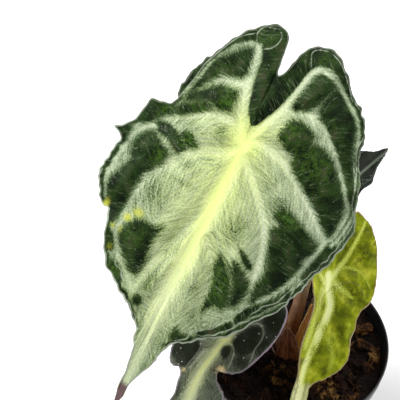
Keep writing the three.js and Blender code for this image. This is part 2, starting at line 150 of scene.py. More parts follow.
def linear(colour):
    """An sRGB hex colour as the linear RGBA that Blender's sockets take."""
    parts = [int(colour[i : i + 2], 16) / 255 for i in (1, 3, 5)]
    return (*[c / 12.92 if c <= 0.04045 else ((c + 0.055) / 1.055) ** 2.4 for c in parts], 1.0)


def plug(tree, socket, value):
    """Links a socket to a pattern, or sets it to a value or to a hex colour."""
    if isinstance(value, bpy.types.NodeSocket):
        tree.links.new(value, socket)
    else:
        socket.default_value = linear(value) if isinstance(value, str) else value


def node(tree, kind, *inputs, output="", stops=(), **named):
    """Adds a node and gives one output of it. Inputs come in order, or by name with a capital letter;
    names in small letters are the node's settings, and stops are those of a colour ramp."""
    made = tree.nodes.new("ShaderNode" + kind)
    for name, value in named.items():
        if name.islower():
            setattr(made, name, value)
    for socket, value in zip([socket for socket in made.inputs if socket.enabled], inputs):
        plug(tree, socket, value)
    for name, value in named.items():
        if not name.islower():
            plug(tree, made.inputs[name.replace("_", " ")], value)
    for i, (place, colour) in enumerate(stops):
        elements = made.color_ramp.elements
        element = elements[i] if i < 2 else elements.new(place)
        element.position = place
        element.color = linear(colour)
    return next(socket for socket in made.outputs if socket.enabled and output in ("", socket.name))


def new_material(name):
    made = bpy.data.materials.new(name)
    made.use_nodes = True
    return made, made.node_tree, made.node_tree.nodes["Principled BSDF"]


def finish(tree, shader, **sockets):
    """Sets or links the sockets of a material's shader, each under its own name."""
    for name, value in sockets.items():
        plug(tree, shader.inputs[name.replace("_", " ")], value)


def put(piece, material, slot, *replaced):
    """Gives a piece its material, hangs it under the root body, and hides the imported nodes it stands for.
    Its slot is not used.
    """
    piece.data.materials.clear()
    piece.data.materials.append(material)
    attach(piece, "root")
    if replaced:
        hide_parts(*replaced)


# Black polypropylene, moulded: a satin skin that reads near-black, with faint draw marks 1 mm
# apart up the wall and a film of dry peat, which is dull and slightly brown, in soft patches.
polypropylene, tree, shader = new_material("black_polypropylene")
place = node(tree, "TexCoord", output="Object")
stretched = node(tree, "Mapping", place, Scale=(1, 1, 0.08))
draw_marks = node(tree, "TexNoise", stretched, Scale=900.0, Detail=3.0)
dust = node(tree, "TexNoise", place, Scale=70.0, Detail=6.0, Roughness=0.7)
dust = node(tree, "Math", dust, 0.52, operation="SUBTRACT", use_clamp=True)
dust = node(tree, "Math", dust, 1.1, operation="MULTIPLY", use_clamp=True)
satin = node(tree, "Math", draw_marks, 0.2, 0.3, operation="MULTIPLY_ADD")
finish(
    tree, shader, IOR=1.49,
    Base_Color=node(tree, "Mix", dust, "#101011", "#3a322b", data_type="RGBA"),
    Roughness=node(tree, "Math", satin, dust, operation="ADD"),
    Normal=node(tree, "Bump", Strength=0.12, Distance=0.0002, Height=draw_marks),
)
put(pot, polypropylene, "pot", "pot")


# Potting soil. Dark peat with coir, heaped a little unevenly to 8 mm below the rim; the crumbs,
# lumps and shreds of coir lie pressed into it, and three beds of it hold most of the pale chips.
SOIL_TOP = 87.0
SOIL_GAP = 0.4
SOIL_SIDES = 256
SOIL_RINGS = 90
CRUMBS = 1500
LUMPS = 70
CLUMPS = 84
CLUMP_BEDS = [(-7, -23, 7), (19, -33, 7), (53, -9, 5)]
SHREDS = 160
CLEAR_OF_WALL = 1.5
PRESSED_IN = 0.12
STEM_HOLE = 10.0
random = np.random.default_rng(11)


def clod(x, y):
    """The uneven level of the soil, the same as in the part's source."""
    return (
        1.1 * math.sin(0.21 * x + 1.3) * math.sin(0.19 * y) + 0.7 * math.sin(0.47 * x + 0.39 * y)
        + 0.4 * math.sin(0.83 * x - 0.7 * y)
    )


def soil_height(x, y, wall):
    """The soil's level: the clods of the source under finer lumps, both of which fade at the wall."""
    fine = noise.turbulence((0.35 * x, 0.35 * y, 3.0), 4, False) - 0.35
    lumpy = noise.noise((0.12 * x, 0.12 * y, 7.0))
    far = math.hypot(x, y)
    edge = 1 - smooth(0.8 * wall, wall, far)
    return SOIL_TOP + (clod(x, y) * 0.9 + 1.3 * lumpy) * edge + 1.5 * fine * (0.3 + 0.7 * edge)


def smooth(start, end, value):
    t = np.clip((value - start) / (end - start), 0, 1)
    return t * t * (3 - 2 * t)


soil_wall = inner_radius(SOIL_TOP) - SOIL_GAP
soil_foot = POT_FLOOR + SOIL_GAP
soil_profile = [
    (AXIS, soil_foot), (PAD_EDGE, soil_foot), (RING_START, RING_LIFT + soil_foot),
    (RING_END, RING_LIFT + soil_foot), (FOOT_START, soil_foot),
    (inner_radius(soil_foot) - SOIL_GAP, soil_foot), (soil_wall, SOIL_TOP - 2),
]
for i in range(SOIL_RINGS):
    soil_profile.append((soil_wall * (1 - i / SOIL_RINGS), SOIL_TOP))
soil = turn_profile("soil_bed", soil_profile, SOIL_SIDES)
for vertex in soil.data.vertices:
    x, y, z = (c / MM for c in vertex.co)
    if z > SOIL_TOP - 1:
        vertex.co.z = soil_height(x, y, soil_wall) * MM


def copy_crumb(model, size, at, turn, squash):
    copied = model.copy()
    copied.data = model.data.copy()
    bpy.context.collection.objects.link(copied)
    shape = Matrix.Translation(Vector(at) * MM) @ turn.to_matrix().to_4x4()
    copied.data.transform(shape @ Matrix.Diagonal((size * MM, size * squash * MM, size * 0.6 * MM, 1)))
    return copied


def crumb_model(name, seed, subdivisions, rough):
    """A ball pushed in and out by noise into one crumb or lump, 1 unit in radius."""
    bpy.ops.object.select_all(action="DESELECT")
    bpy.ops.mesh.primitive_ico_sphere_add(subdivisions=subdivisions, radius=1)
    model = bpy.context.object
    model.name = name
    for vertex in model.data.vertices:
        push = noise.noise(vertex.co * 1.3 + Vector((seed, 0, 0)))
        push += 0.5 * noise.noise(vertex.co * 4 + Vector((0, seed, 0)))
        vertex.co *= 1 + rough * push
    return model


def scatter(name, model_count, copies, smallest, largest, subdivisions, rough, beds=(), slim=0.6):
    """Crumbs or lumps pressed into the soil, all over it or only in the beds (x, y, half width)."""
    models = [crumb_model(f"{name}_{k}", 3.7 * k, subdivisions, rough) for k in range(model_count)]
    made = []
    for i in range(copies):
        size = smallest + (largest - smallest) * random.random() ** 2.5
        angle = 2 * math.pi * random.random()
        far = STEM_HOLE + 1 + (soil_wall - STEM_HOLE - size - CLEAR_OF_WALL) * math.sqrt(random.random())
        x, y = far * math.cos(angle), far * math.sin(angle)
        if beds:
            bed_x, bed_y, wide = beds[i % len(beds)]
            x, y = bed_x + x * wide / soil_wall, bed_y + y * wide / soil_wall
            inward = min(1, (soil_wall - size - CLEAR_OF_WALL) / math.hypot(x, y))
            x, y = x * inward, y * inward
        turn = Euler(tuple(random.uniform(-0.6, 0.6, 2)) + (random.uniform(0, 6.3),))
        at = (x, y, soil_height(x, y, soil_wall) + PRESSED_IN * size)
        made.append(copy_crumb(models[i % model_count], size, at, turn, slim * random.uniform(1, 1.6)))
    for model in models:
        bpy.data.objects.remove(model)
    bpy.ops.object.select_all(action="DESELECT")
    for item in made:
        item.select_set(True)
    bpy.context.view_layer.objects.active = made[0]
    bpy.ops.object.join()
    joined = bpy.context.object
    joined.name = name
    bpy.ops.object.shade_smooth_by_angle(angle=math.radians(50))
    return joined


crumbs = scatter("peat_crumbs", 6, CRUMBS, 0.5, 1.7, 1, 0.7)
lumps = scatter("coir_lumps", 5, LUMPS, 2.0, 5.0, 4, 0.9)
clumps = scatter("coir_clumps", 5, CLUMPS, 1.2, 3.4, 3, 1.1, CLUMP_BEDS)
shreds = scatter("coir_shreds", 4, SHREDS, 1.6, 6.0, 2, 0.5, slim=0.09)
select_only(soil)
bpy.ops.object.shade_smooth()


def crumb_skin(name, stretch, grain, patch, grain_share, relief, dull, stops):
    """A loose brown material: fine grain over broad patches, each given by its scale and detail."""
    material, tree, shader = new_material(name)
    place = node(tree, "TexCoord", output="Object")
    drawn_out = node(tree, "Mapping", place, Scale=(1, stretch, 1))
    fine = node(tree, "TexNoise", drawn_out, Scale=grain[0], Detail=grain[1], Roughness=grain[2])
    broad = node(tree, "TexNoise", place, Scale=patch[0], Detail=patch[1])
    broad = node(tree, "Math", broad, 1 - grain_share, operation="MULTIPLY")
    mottle = node(tree, "Math", fine, grain_share, broad, operation="MULTIPLY_ADD")
    finish(
        tree, shader, Roughness=dull, Specular_IOR_Level=0.15,
        Base_Color=node(tree, "ValToRGB", mottle, stops=stops),
        Normal=node(tree, "Bump", Strength=relief[0], Distance=relief[1], Height=fine),
    )
    return material


# Peat, moist: black-brown and matt, its 2 mm grain lit brown only where it is driest.
peat = crumb_skin(
    "moist_peat", 1, (420.0, 8.0, 0.75), (90.0, 4.0), 0.6, (0.8, 0.0008), 0.85,
    [(0.36, "#040101"), (0.5, "#0d0502"), (0.6, "#261107"), (0.7, "#553015")],
)
# Coir: chopped coconut husk, a red-brown felt of 1 mm fibres that lies lighter on the peat.
coir = crumb_skin(
    "coir_husk", 0.3, (900.0, 6.0, 0.7), (60.0, 2.0), 0.5, (1.0, 0.001), 0.9,
    [(0.38, "#0a0504"), (0.5, "#2b190b"), (0.58, "#5a3a1a"), (0.7, "#a07c4a")],
)
# Husk chips: coarser, paler coir, ochre where it is torn, caught up in clumps.
chips = crumb_skin(
    "ochre_husk_chips", 1, (700.0, 6.0, 0.75), (160.0, 2.0), 0.5, (1.0, 0.001), 0.9,
    [(0.36, "#120803"), (0.46, "#39240f"), (0.56, "#6a4c25"), (0.66, "#9c7b48")],
)
put(soil, peat, "soil", "soil")
put(clumps, chips, "soil")
put(shreds, coir, "soil")
put(crumbs, peat, "soil")
put(lumps, coir, "soil")


# Leaf stalks. Each petiole is a fleshy stalk, widened at its foot into a sheath that clasps the
# next one, all grown from a short stump of a stem set in the soil. Foot, head, and middle line.
PETIOLES = {
    "petiole_1": (4.6, 2.3, [
        (-0.5, 1, 80), (0, 2.5, 90), (3, 9, 104), (5.5, 13, 118), (5, 23, 150), (-2, 31, 185),
        (-13, 33, 212), (-26, 28, 227), (-33, 20, 235), (-34, 13.4, 241.6),
    ]),
    "petiole_2": (2.6, 1.7, [
        (-6.2, -3.2, 80), (-7, -3.2, 91), (-9.5, -4, 103), (-17, -9, 113), (-29, -16, 117),
        (-38, -20.5, 120.5), (-40.9, -23.8, 126.5),
    ]),
    "petiole_3": (2.6, 1.9, [
        (5.2, -3, 80), (6.6, -1, 91), (9.5, 6, 102), (13, 11, 112), (17, 14, 122),
        (19.2, 12.5, 130), (20, 6.4, 136.6),
    ]),
    "petiole_4": (2.2, 1.6, [
        (3.6, 6.6, 80), (4.6, 9, 92), (8.6, 19, 106), (14, 33, 124), (19, 48, 139),
        (19.8, 53.5, 147), (19, 53, 154.6),
    ]),
}
STALK_SIDES = 28
STALK_RINGS = 90
SHEATH_LENGTH = 0.22
GROOVE_DEPTH = 0.14
STALK_RIBS = 9
RIB_DEPTH = 0.02
FOOT_FLATTENED = 0.18


def smooth_line(points, count, closed):
    """A centripetal Catmull-Rom curve through the points, resampled at even spacing."""
    p = np.array(points, float)
    if closed:
        p = np.vstack([p[-1], p, p[0], p[1]])
    else:
        p = np.vstack([2 * p[0] - p[1], p, 2 * p[-1] - p[-2]])
    t = np.linspace(0, 1, 60, endpoint=False)[:, None]
    pieces = []
    for p0, p1, p2, p3 in zip(p, p[1:], p[2:], p[3:]):
        d0, d1, d2 = (np.linalg.norm(b - a) ** 0.5 for a, b in ((p0, p1), (p1, p2), (p2, p3)))
        m1 = ((p1 - p0) / d0 - (p2 - p0) / (d0 + d1) + (p2 - p1) / d1) * d1
        m2 = ((p2 - p1) / d1 - (p3 - p1) / (d1 + d2) + (p3 - p2) / d2) * d1
        pieces.append(
            (2 * t**3 - 3 * t**2 + 1) * p1 + (t**3 - 2 * t**2 + t) * m1
            + (3 * t**2 - 2 * t**3) * p2 + (t**3 - t**2) * m2
        )
    dense = np.vstack(pieces + [p[-2][None] if not closed else pieces[0][:1]])
    length = np.concatenate([[0], np.cumsum(np.linalg.norm(np.diff(dense, axis=0), axis=1))])
    stations = np.linspace(0, length[-1], count, endpoint=not closed)
    return np.stack([np.interp(stations, length, dense[:, i]) for i in range(dense.shape[1])], 1)


def grid_piece(name, columns, rows):
    """A flat grid of columns x rows points, whose points the caller then puts in place."""
    bpy.ops.object.select_all(action="DESELECT")
    bpy.ops.mesh.primitive_grid_add(x_subdivisions=columns - 1, y_subdivisions=rows - 1, size=1)
    piece = bpy.context.object
    piece.name = name
    return piece


def shape_points(piece, points):
    piece.data.vertices.foreach_set("co", np.asarray(points, np.float32).ravel())
    piece.data.update()


def add_values(piece, name, values):
    layer = piece.data.attributes.new(name, "FLOAT", "POINT")
    layer.data.foreach_set("value", np.asarray(values, np.float32).ravel())


def merge_seams(piece):
    select_only(piece)
    bpy.ops.object.mode_set(mode="EDIT")
    bpy.ops.mesh.select_all(action="SELECT")
    bpy.ops.mesh.remove_doubles(threshold=2e-6)
    bpy.ops.mesh.normals_make_consistent(inside=False)
    bpy.ops.object.mode_set(mode="OBJECT")


def stalk(name, foot, head, points):
    """A stalk along its middle line, grooved above, ribbed, and flattened where it clasps the next."""
    centres = smooth_line(points, STALK_RINGS, False)
    along = np.linspace(0, 1, STALK_RINGS)
    tangents = np.gradient(centres, axis=0)
    tangents /= np.linalg.norm(tangents, axis=1)[:, None]
    sides = np.cross(tangents, [0.3, -1.0, 0.2])
    sides /= np.linalg.norm(sides, axis=1)[:, None]
    fronts = np.cross(sides, tangents)
    radius = foot + (head - foot) * smooth(0, 0.6, along)
    radius[[0, -1]] = 0
    centres[0], centres[-1] = centres[1], centres[-2]
    turn = np.linspace(0, 2 * math.pi, STALK_SIDES + 1)
    flare = 1 - smooth(0, SHEATH_LENGTH, along)
    rows = []
    for ring in range(STALK_RINGS):
        groove = 1 - GROOVE_DEPTH * np.exp(-((np.sin(turn / 2) / 0.35) ** 2)) * (1 - flare[ring])
        ribs = 1 + RIB_DEPTH * np.sin(turn * STALK_RIBS) - FOOT_FLATTENED * flare[ring] * np.cos(2 * turn)
        reach = radius[ring] * groove * ribs
        rows.append(
            centres[ring] + reach[:, None] * np.cos(turn)[:, None] * fronts[ring]
            + reach[:, None] * np.sin(turn)[:, None] * sides[ring]
        )
    piece = grid_piece(name, STALK_SIDES + 1, STALK_RINGS)
    shape_points(piece, np.array(rows) * MM)
    add_values(piece, "along", np.repeat(along, STALK_SIDES + 1))
    merge_seams(piece)
    bpy.ops.object.shade_smooth()
    return piece


# Petiole skin: waxy and slightly glassy; rose-brown at the foot with fine dark lengthwise flecks,
# turning to dull green towards the blade.
petiole_skin, tree, shader = new_material("petiole_skin")
place = node(tree, "TexCoord", output="Object")
along = node(tree, "Attribute", attribute_name="along", output="Fac")
stretched = node(tree, "Mapping", place, Scale=(1, 1, 0.12))
flecks = node(tree, "TexNoise", stretched, Scale=1100.0, Detail=4.0)
cloud = node(tree, "TexNoise", place, Scale=110.0, Detail=3.0)
cloud = node(tree, "Math", cloud, 0.5, operation="SUBTRACT")
shifted = node(tree, "Math", cloud, 0.3, along, operation="MULTIPLY_ADD")
skin_colour = node(tree, "ValToRGB", shifted, stops=[
    (0.0, "#4f2410"), (0.07, "#6b4023"), (0.13, "#7d5434"), (0.24, "#a0795a"), (0.4, "#a0895c"),
    (0.7, "#7d8155"), (1.0, "#8fa05c"),
])
fleck_dark = node(tree, "Math", flecks, 0.5, operation="SUBTRACT", use_clamp=True)
fleck_dark = node(tree, "Math", fleck_dark, 3.0, operation="MULTIPLY", use_clamp=True)
finish(
    tree, shader, Roughness=0.38, IOR=1.42,
    Base_Color=node(tree, "Mix", fleck_dark, skin_colour, "#4b2a22", data_type="RGBA"),
    Subsurface_Weight=0.15, Subsurface_Radius=(0.003, 0.0015, 0.0008),
    Normal=node(tree, "Bump", Strength=0.25, Distance=0.0003, Height=flecks),
)
for stalk_name, (foot, head, points) in PETIOLES.items():
    put(stalk(f"stalk_{stalk_name[-1]}", foot, head, points), petiole_skin, "petiole", stalk_name)


# Stem. The short stump that all the petioles grow from, ringed by the scars of shed leaves; its
# foot is down in the peat, so that only its brown, corky shoulder shows between the stalks.
STEM_FOOT = 68.0
STEM_TOP = 93.0
STEM_RADIUS = 10.2
STEM_FLARE = 8.0
SCAR_RINGS = 30
SCAR_STEP = 0.4
SCAR_DEPTH = 0.35
stem_profile = [(AXIS, STEM_FOOT), (5.0, STEM_FOOT), (STEM_RADIUS, STEM_FOOT + STEM_FLARE)]
for ring in range(SCAR_RINGS):
    height = STEM_FOOT + STEM_FLARE + SCAR_STEP * (ring + 1)
    stem_profile.append((STEM_RADIUS - SCAR_DEPTH + SCAR_DEPTH * math.cos(2.1 * ring), height))
stem_profile += [(8.6, STEM_TOP - 1.2), (5.0, STEM_TOP), (AXIS, STEM_TOP)]
short_stem = turn_profile("short_stem", rounded(stem_profile, 0.5), 64)
bpy.ops.object.shade_smooth()

# Stem cork: dull, fissured brown, darker down in its 3 mm fissures.
cork, tree, shader = new_material("stem_cork")
place = node(tree, "TexCoord", output="Object")
flattened = node(tree, "Mapping", place, Scale=(1, 1, 3.0))
fissure = node(tree, "TexNoise", flattened, Scale=350.0, Detail=6.0)
finish(
    tree, shader, Roughness=0.8,
    Base_Color=node(tree, "ValToRGB", fissure, stops=[(0.35, "#1c0f09"), (0.5, "#45291a"), (0.7, "#7a5a3c")]),
    Normal=node(tree, "Bump", Strength=0.6, Distance=0.0005, Height=fissure),
)
put(short_stem, cork, "stem", "stem")


# Papery sheaths. The dry cataphylls that once wrapped each new leaf, thin and brittle, grown from
# the stem's shoulder; they lean on the stalks, and their margins are torn, paler and rolled out.
# Each: the side it faces and half its spread in degrees, foot and tip heights, foot and tip
# radii, how far its tip leans, and its dark and light colour.
SHEATHS = {
    "sheath_front": (-101, 42, 83, 110, 11.4, 8.4, (-1.6, 4.4), "#7a4022", "#a06a42"),
    "sheath_right": (-52, 52, 83, 118, 11.0, 5.0, (8.4, 11.2), "#cf7d22", "#e2ad5c"),
    "sheath_left": (190, 30, 83, 97, 11.4, 11.6, (-2, 0), "#8d5340", "#c9a48e"),
}
SHEATH_ACROSS = 49
SHEATH_UP = 73
SHEATH_THICK = 0.45


def sheath(name, facing, span, foot, tip, foot_radius, tip_radius, lean):
    """A pointed scale that follows the stem up and narrows to a torn point."""
    u, v = np.meshgrid(np.linspace(-1, 1, SHEATH_ACROSS), np.linspace(0, 1, SHEATH_UP))
    torn = 1 + 0.09 * np.sin(31 * v + 2 * np.sign(u)) * v + 0.05 * np.sin(73 * v + 4 * np.sign(u)) * v
    spread = np.maximum(0.05, np.sqrt(1 - v**1.6)) * span * np.where(np.abs(u) > 0.8, torn, 1)
    rolled = 0.9 * smooth(0.7, 1, np.abs(u)) * v + 0.16 * np.sin(11 * u + 3 * v) * v
    radius = foot_radius + (tip_radius - foot_radius) * v + rolled
    angle = np.radians(facing + spread * u)
    x = radius * np.cos(angle) + lean[0] * v**2
    y = radius * np.sin(angle) + lean[1] * v**2
    points = np.stack([x, y, foot + (tip - foot) * v], -1)
    piece = grid_piece(name, SHEATH_ACROSS, SHEATH_UP)
    shape_points(piece, points * MM)
    add_values(piece, "up", v)
    add_values(piece, "across", u)
    select_only(piece)
    wall = piece.modifiers.new("thickness", "SOLIDIFY")
    wall.thickness = SHEATH_THICK * MM
    wall.offset = 0
    bpy.ops.object.modifier_apply(modifier=wall.name)
    merge_seams(piece)
    bpy.ops.object.shade_smooth()
    return piece


def sheath_skin(name, dark, light):
    """Dry sheath: a translucent brown film with fine lengthwise veins and a bleached torn margin."""
    material, tree, shader = new_material(name)
    up = node(tree, "Attribute", attribute_name="up", output="Fac")
    across = node(tree, "Attribute", attribute_name="across", output="Fac")
    grid = node(tree, "CombineXYZ", across, up)
    lines = node(tree, "Mapping", grid, Scale=(14, 1.6, 1))
    veins = node(tree, "TexNoise", lines, noise_dimensions="2D", Scale=1.0, Detail=5.0)
    blotch = node(tree, "TexNoise", grid, noise_dimensions="2D", Scale=3.0, Detail=3.0)
    blotch = node(tree, "Math", blotch, 0.5, operation="MULTIPLY")
    shade = node(tree, "Math", veins, 0.5, blotch, operation="MULTIPLY_ADD")
    film = node(tree, "ValToRGB", shade, stops=[(0.32, "#3a1a0c"), (0.46, dark), (0.6, light)])
    edge = node(tree, "Math", across, operation="ABSOLUTE")
    edge = node(tree, "MapRange", edge, 0.86, 1.0, 0.0, 0.7)
    bleached = node(tree, "Math", edge, up, operation="MULTIPLY")
    finish(
        tree, shader, Roughness=0.42, IOR=1.45,
        Base_Color=node(tree, "Mix", bleached, film, "#b79a83", data_type="RGBA"),
        Subsurface_Weight=0.3, Subsurface_Radius=(0.004, 0.0015, 0.0006),
        Normal=node(tree, "Bump", Strength=0.5, Distance=0.0003, Height=veins),
    )
    return material


for sheath_name, (*sizes, dark, light) in SHEATHS.items():
    dry_skin = sheath_skin(f"dry_{sheath_name}", dark, light)
    put(sheath(f"papery_{sheath_name}", *sizes), dry_skin, "sheath", sheath_name)


# Leaves. Each blade is a soft heart-shaped sheet joined to its petiole inside the sinus. The
# fields between the veins puff up, the veins are sunk above and stand proud beneath, and the
# margin runs in waves. Drawn flat round the joint: x across, y to the rear lobes, tip at -y.
BLADE_THICK = 0.7
RIB_WIDTH = 1.8
MARGIN_POINTS = 1600
TURN_STEP = 3e-4
CRINKLES = 61
QUILT_PITCH = 0.35
NET_EDGE = 0.9
EDGE_BAND_ENDS = (-118, -96)
VEIN_POINTS = 40
VEIN_RUN_ON = 30.0
VEINS_APART = 300
HAIR_SLANT = 1.5
FAINT = 0.2


def turn_matrix(at, degrees):
    rx, ry, rz = (math.radians(d) for d in degrees)
    turn = Matrix.Rotation(rx, 4, "X") @ Matrix.Rotation(ry, 4, "Y") @ Matrix.Rotation(rz, 4, "Z")
    return np.array(Matrix.Translation(Vector(at)) @ turn)


def below(limit, value):
    return np.maximum(0, limit - value)


def on_line(points):
    return smooth_line(points, VEIN_POINTS, False)


def line_mm(line, x, y):
    """How far each point lies from a line, and how far along it."""
    nearest = np.full(x.shape, np.inf)
    along = np.zeros(x.shape)
    start = 0.0
    for (ax, ay), (bx, by) in zip(line, line[1:]):
        dx, dy = bx - ax, by - ay
        span = max(math.hypot(dx, dy), 1e-9)
        t = np.clip(((x - ax) * dx + (y - ay) * dy) / span**2, 0, 1)
        far = np.hypot(x - ax - t * dx, y - ay - t * dy)
        nearer = far < nearest
        nearest = np.where(nearer, far, nearest)
        along = np.where(nearer, start + t * span, along)
        start += span
    return nearest, along


def inside_mm(points, x, y):
    """How far each point lies inside a smooth closed outline; outside it the value is negative."""
    ring = smooth_line(points, 4 * len(points), True)
    ring = np.vstack([ring, ring[:1]])
    far, _ = line_mm(ring, x, y)
    within = np.zeros(x.shape, bool)
    for (ax, ay), (bx, by) in zip(ring, ring[1:]):
        crosses = (ay > y) != (by > y)
        within ^= crosses & (x < (bx - ax) * (y - ay) / (by - ay + 1e-12) + ax)
    return np.where(within, far, -far)


def spots(places, x, y):
    """Soft round patches, each given by its middle, its two radii and its strength."""
    value = np.zeros(x.shape)
    for cx, cy, rx, ry, strength in places:
        value = np.maximum(value, strength * np.exp(-(((x - cx) / rx) ** 2 + ((y - cy) / ry) ** 2)))
    return value


def in_turn(margin, pole):
    """The margin with each point turned no further back, seen from the pole, than the one before it."""
    off = margin - pole
    angle = np.unwrap(np.arctan2(off[:, 1], off[:, 0]))
    far = np.hypot(off[:, 0], off[:, 1])
    step = TURN_STEP * np.arange(len(angle))
    angle = np.minimum.accumulate(angle + step) - step
    return pole + np.stack([far * np.cos(angle), far * np.sin(angle)], 1)


def flat_leaf(leaf):
    """A square grid drawn out to the leaf's outline, each point at its share of the way from the pole."""
    pole = np.array(leaf["pole"], float)
    margin = smooth_line(leaf["outline"], MARGIN_POINTS, True)
    turn = np.linspace(0, 2 * np.pi, MARGIN_POINTS, endpoint=False)
    tooth = np.sin(53 * turn + 3 * np.sin(9 * turn)) + 0.7 * np.sin(101 * turn + 4 * np.sin(7 * turn))
    tooth *= leaf["tooth"] * (1 - spots(leaf["calm"], margin[:, 0], margin[:, 1]))
    outward = margin - pole
    margin = in_turn(margin + tooth[:, None] * outward / np.hypot(*outward.T)[:, None], pole)
    margin = np.vstack([margin, margin[:1]])
    a, b = np.meshgrid(np.linspace(-1, 1, leaf["grid"]), np.linspace(-1, 1, leaf["grid"]))
    steep = np.abs(b) > np.abs(a)
    longer = np.where(steep, b, a)
    ratio = np.where(steep, a, b) / np.where(longer == 0, 1, longer)
    angle = np.where(steep, np.pi / 2 - np.pi / 4 * ratio, np.pi / 4 * ratio)
    share = np.abs(longer)
    around = np.arctan2(longer * np.sin(angle), longer * np.cos(angle)) / (2 * np.pi) % 1
    at = around * MARGIN_POINTS
    x = pole[0] + (np.interp(at, np.arange(len(margin)), margin[:, 0]) - pole[0]) * share
    y = pole[1] + (np.interp(at, np.arange(len(margin)), margin[:, 1]) - pole[1]) * share
    return margin[::4], x, y, share, around


def leaf_marks(leaf, x, y):
    """How pale each point of a blade is: its net of veins less the dark fields that the net leaves."""
    pale = leaf["haze"] + 0 * x
    for points, wide, narrow, strength in leaf["bands"]:
        vein = leaf["veins"][points] if isinstance(points, str) else points
        far, along = line_mm(on_line(vein), x, y)
        width = wide + (narrow - wide) * along / along.max()
        pale = np.maximum(pale, strength * np.exp(-((far / width) ** 2)))
    pale *= 1 - spots(leaf.get("dim", ()), x, y)
    if "net" in leaf:
        pale *= smooth(-NET_EDGE, NET_EDGE, inside_mm(leaf["net"], x, y))
    for points in leaf.get("fields", ()):
        inside = inside_mm(points, x, y)
        soft = min(leaf["soft"], 0.9 * inside.max())
        pale *= 1 - smooth(-soft, soft, inside)
    for points, width, strength in leaf.get("rings", ()):
        far, _ = line_mm(on_line(points), x, y)
        pale = np.maximum(pale, strength * np.exp(-((far / width) ** 2)))
    return pale


def blade(name, leaf):
    """One leaf blade, with the values that its skin is coloured by."""
    margin, x, y, share, around = flat_leaf(leaf)
    veins = [on_line(points) for points in leaf["veins"].values()]
    reach = [line_mm(line, x, y) for line in veins]
    vein_far = np.min([far for far, _ in reach], axis=0)
    margin_far, _ = line_mm(margin, x, y)

    rim = 1 - smooth(0, leaf["rim_reach"], margin_far)
    field = 1 - np.exp(-((vein_far / leaf["puff_width"]) ** 2))
    turn = 2 * np.pi * around
    wave = 0.7 * np.sin(leaf["waves"] * turn) + 0.3 * np.sin(leaf["ripples"] * turn + 1)
    crinkle = np.sin(CRINKLES * turn + 5 * np.sin(7 * turn))
    crinkle *= leaf["crinkle"] * (1 - smooth(0, 0.4 * leaf["rim_reach"], margin_far))
    lively = 1 - spots(leaf["calm"], x, y)
    quilt = np.sin(QUILT_PITCH * (x + 0.6 * y)) * np.sin(QUILT_PITCH * (y - 0.5 * x))
    height = leaf["form"](x, y) + leaf["puff"] * field * (1 - 0.7 * rim)
    height += lively * (leaf["ruffle"] * wave * rim + crinkle) + leaf["quilt_depth"] * quilt * field
    local = np.stack([x, y, height, np.ones_like(x)], -1)
    place = turn_matrix(leaf["at"], leaf["turn"])
    piece = grid_piece(name, leaf["grid"], leaf["grid"])
    shape_points(piece, (local @ place.T)[..., :3] * MM)

    wide, long, band, haze_band = leaf["glow"]
    midrib_far, midrib_along = reach[0]
    glow = np.exp(-((x / wide) ** 2 + (y / long) ** 2))
    midrib_glow = np.exp(-((midrib_far / band) ** 2))
    midrib_glow = np.maximum(midrib_glow, 0.55 * np.exp(-((midrib_far / haze_band) ** 2)))
    midrib_glow *= 1 - 0.9 * smooth(0.15, 0.95, midrib_along / midrib_along.max())
    fine = np.full(x.shape, 9.0)
    tremble = leaf.get("fine_wave", 0) * smooth(-5, -35, y)
    shaken_x = x + tremble * np.sin(0.8 * y + 2 * np.sin(0.3 * x))
    shaken_y = y + tremble * np.sin(0.7 * x + 2 * np.sin(0.4 * y))
    for points in leaf["fine"]:
        fine = np.minimum(fine, line_mm(on_line(points), shaken_x, shaken_y)[0])
    for points in leaf.get("faint", ()):
        fine = np.minimum(fine, FAINT + line_mm(on_line(points), x, y)[0])
    band_at, band_width, band_depth = leaf.get("edge_band", (0, 1, 0))
    edge_band = band_depth * np.exp(-(((margin_far - band_at) / band_width) ** 2))
    edge_band *= smooth(*EDGE_BAND_ENDS, y)
    ribs = leaf["rib"] * np.exp(-((vein_far / RIB_WIDTH) ** 2)) * (1 - 0.8 * share)
    add_values(piece, "pale", leaf_marks(leaf, x, y) * (1 - edge_band))
    add_values(piece, "glow", np.maximum(glow, midrib_glow))
    add_values(piece, "fine_mm", fine)
    add_values(piece, "margin_mm", margin_far)
    add_values(piece, "moss", spots(leaf.get("moss", ()), x, y))
    add_values(piece, "scar", spots(leaf.get("scars", ()), x, y))
    add_values(piece, "thicker", ribs + leaf.get("tip_thick", 0) * smooth(0, 14, -50 - y))
    add_leaf_maps(piece, x, y, veins)
    face_up(piece, Vector(place[:3, 2]))
    thicken(piece)
    bpy.ops.object.shade_smooth()
    return piece


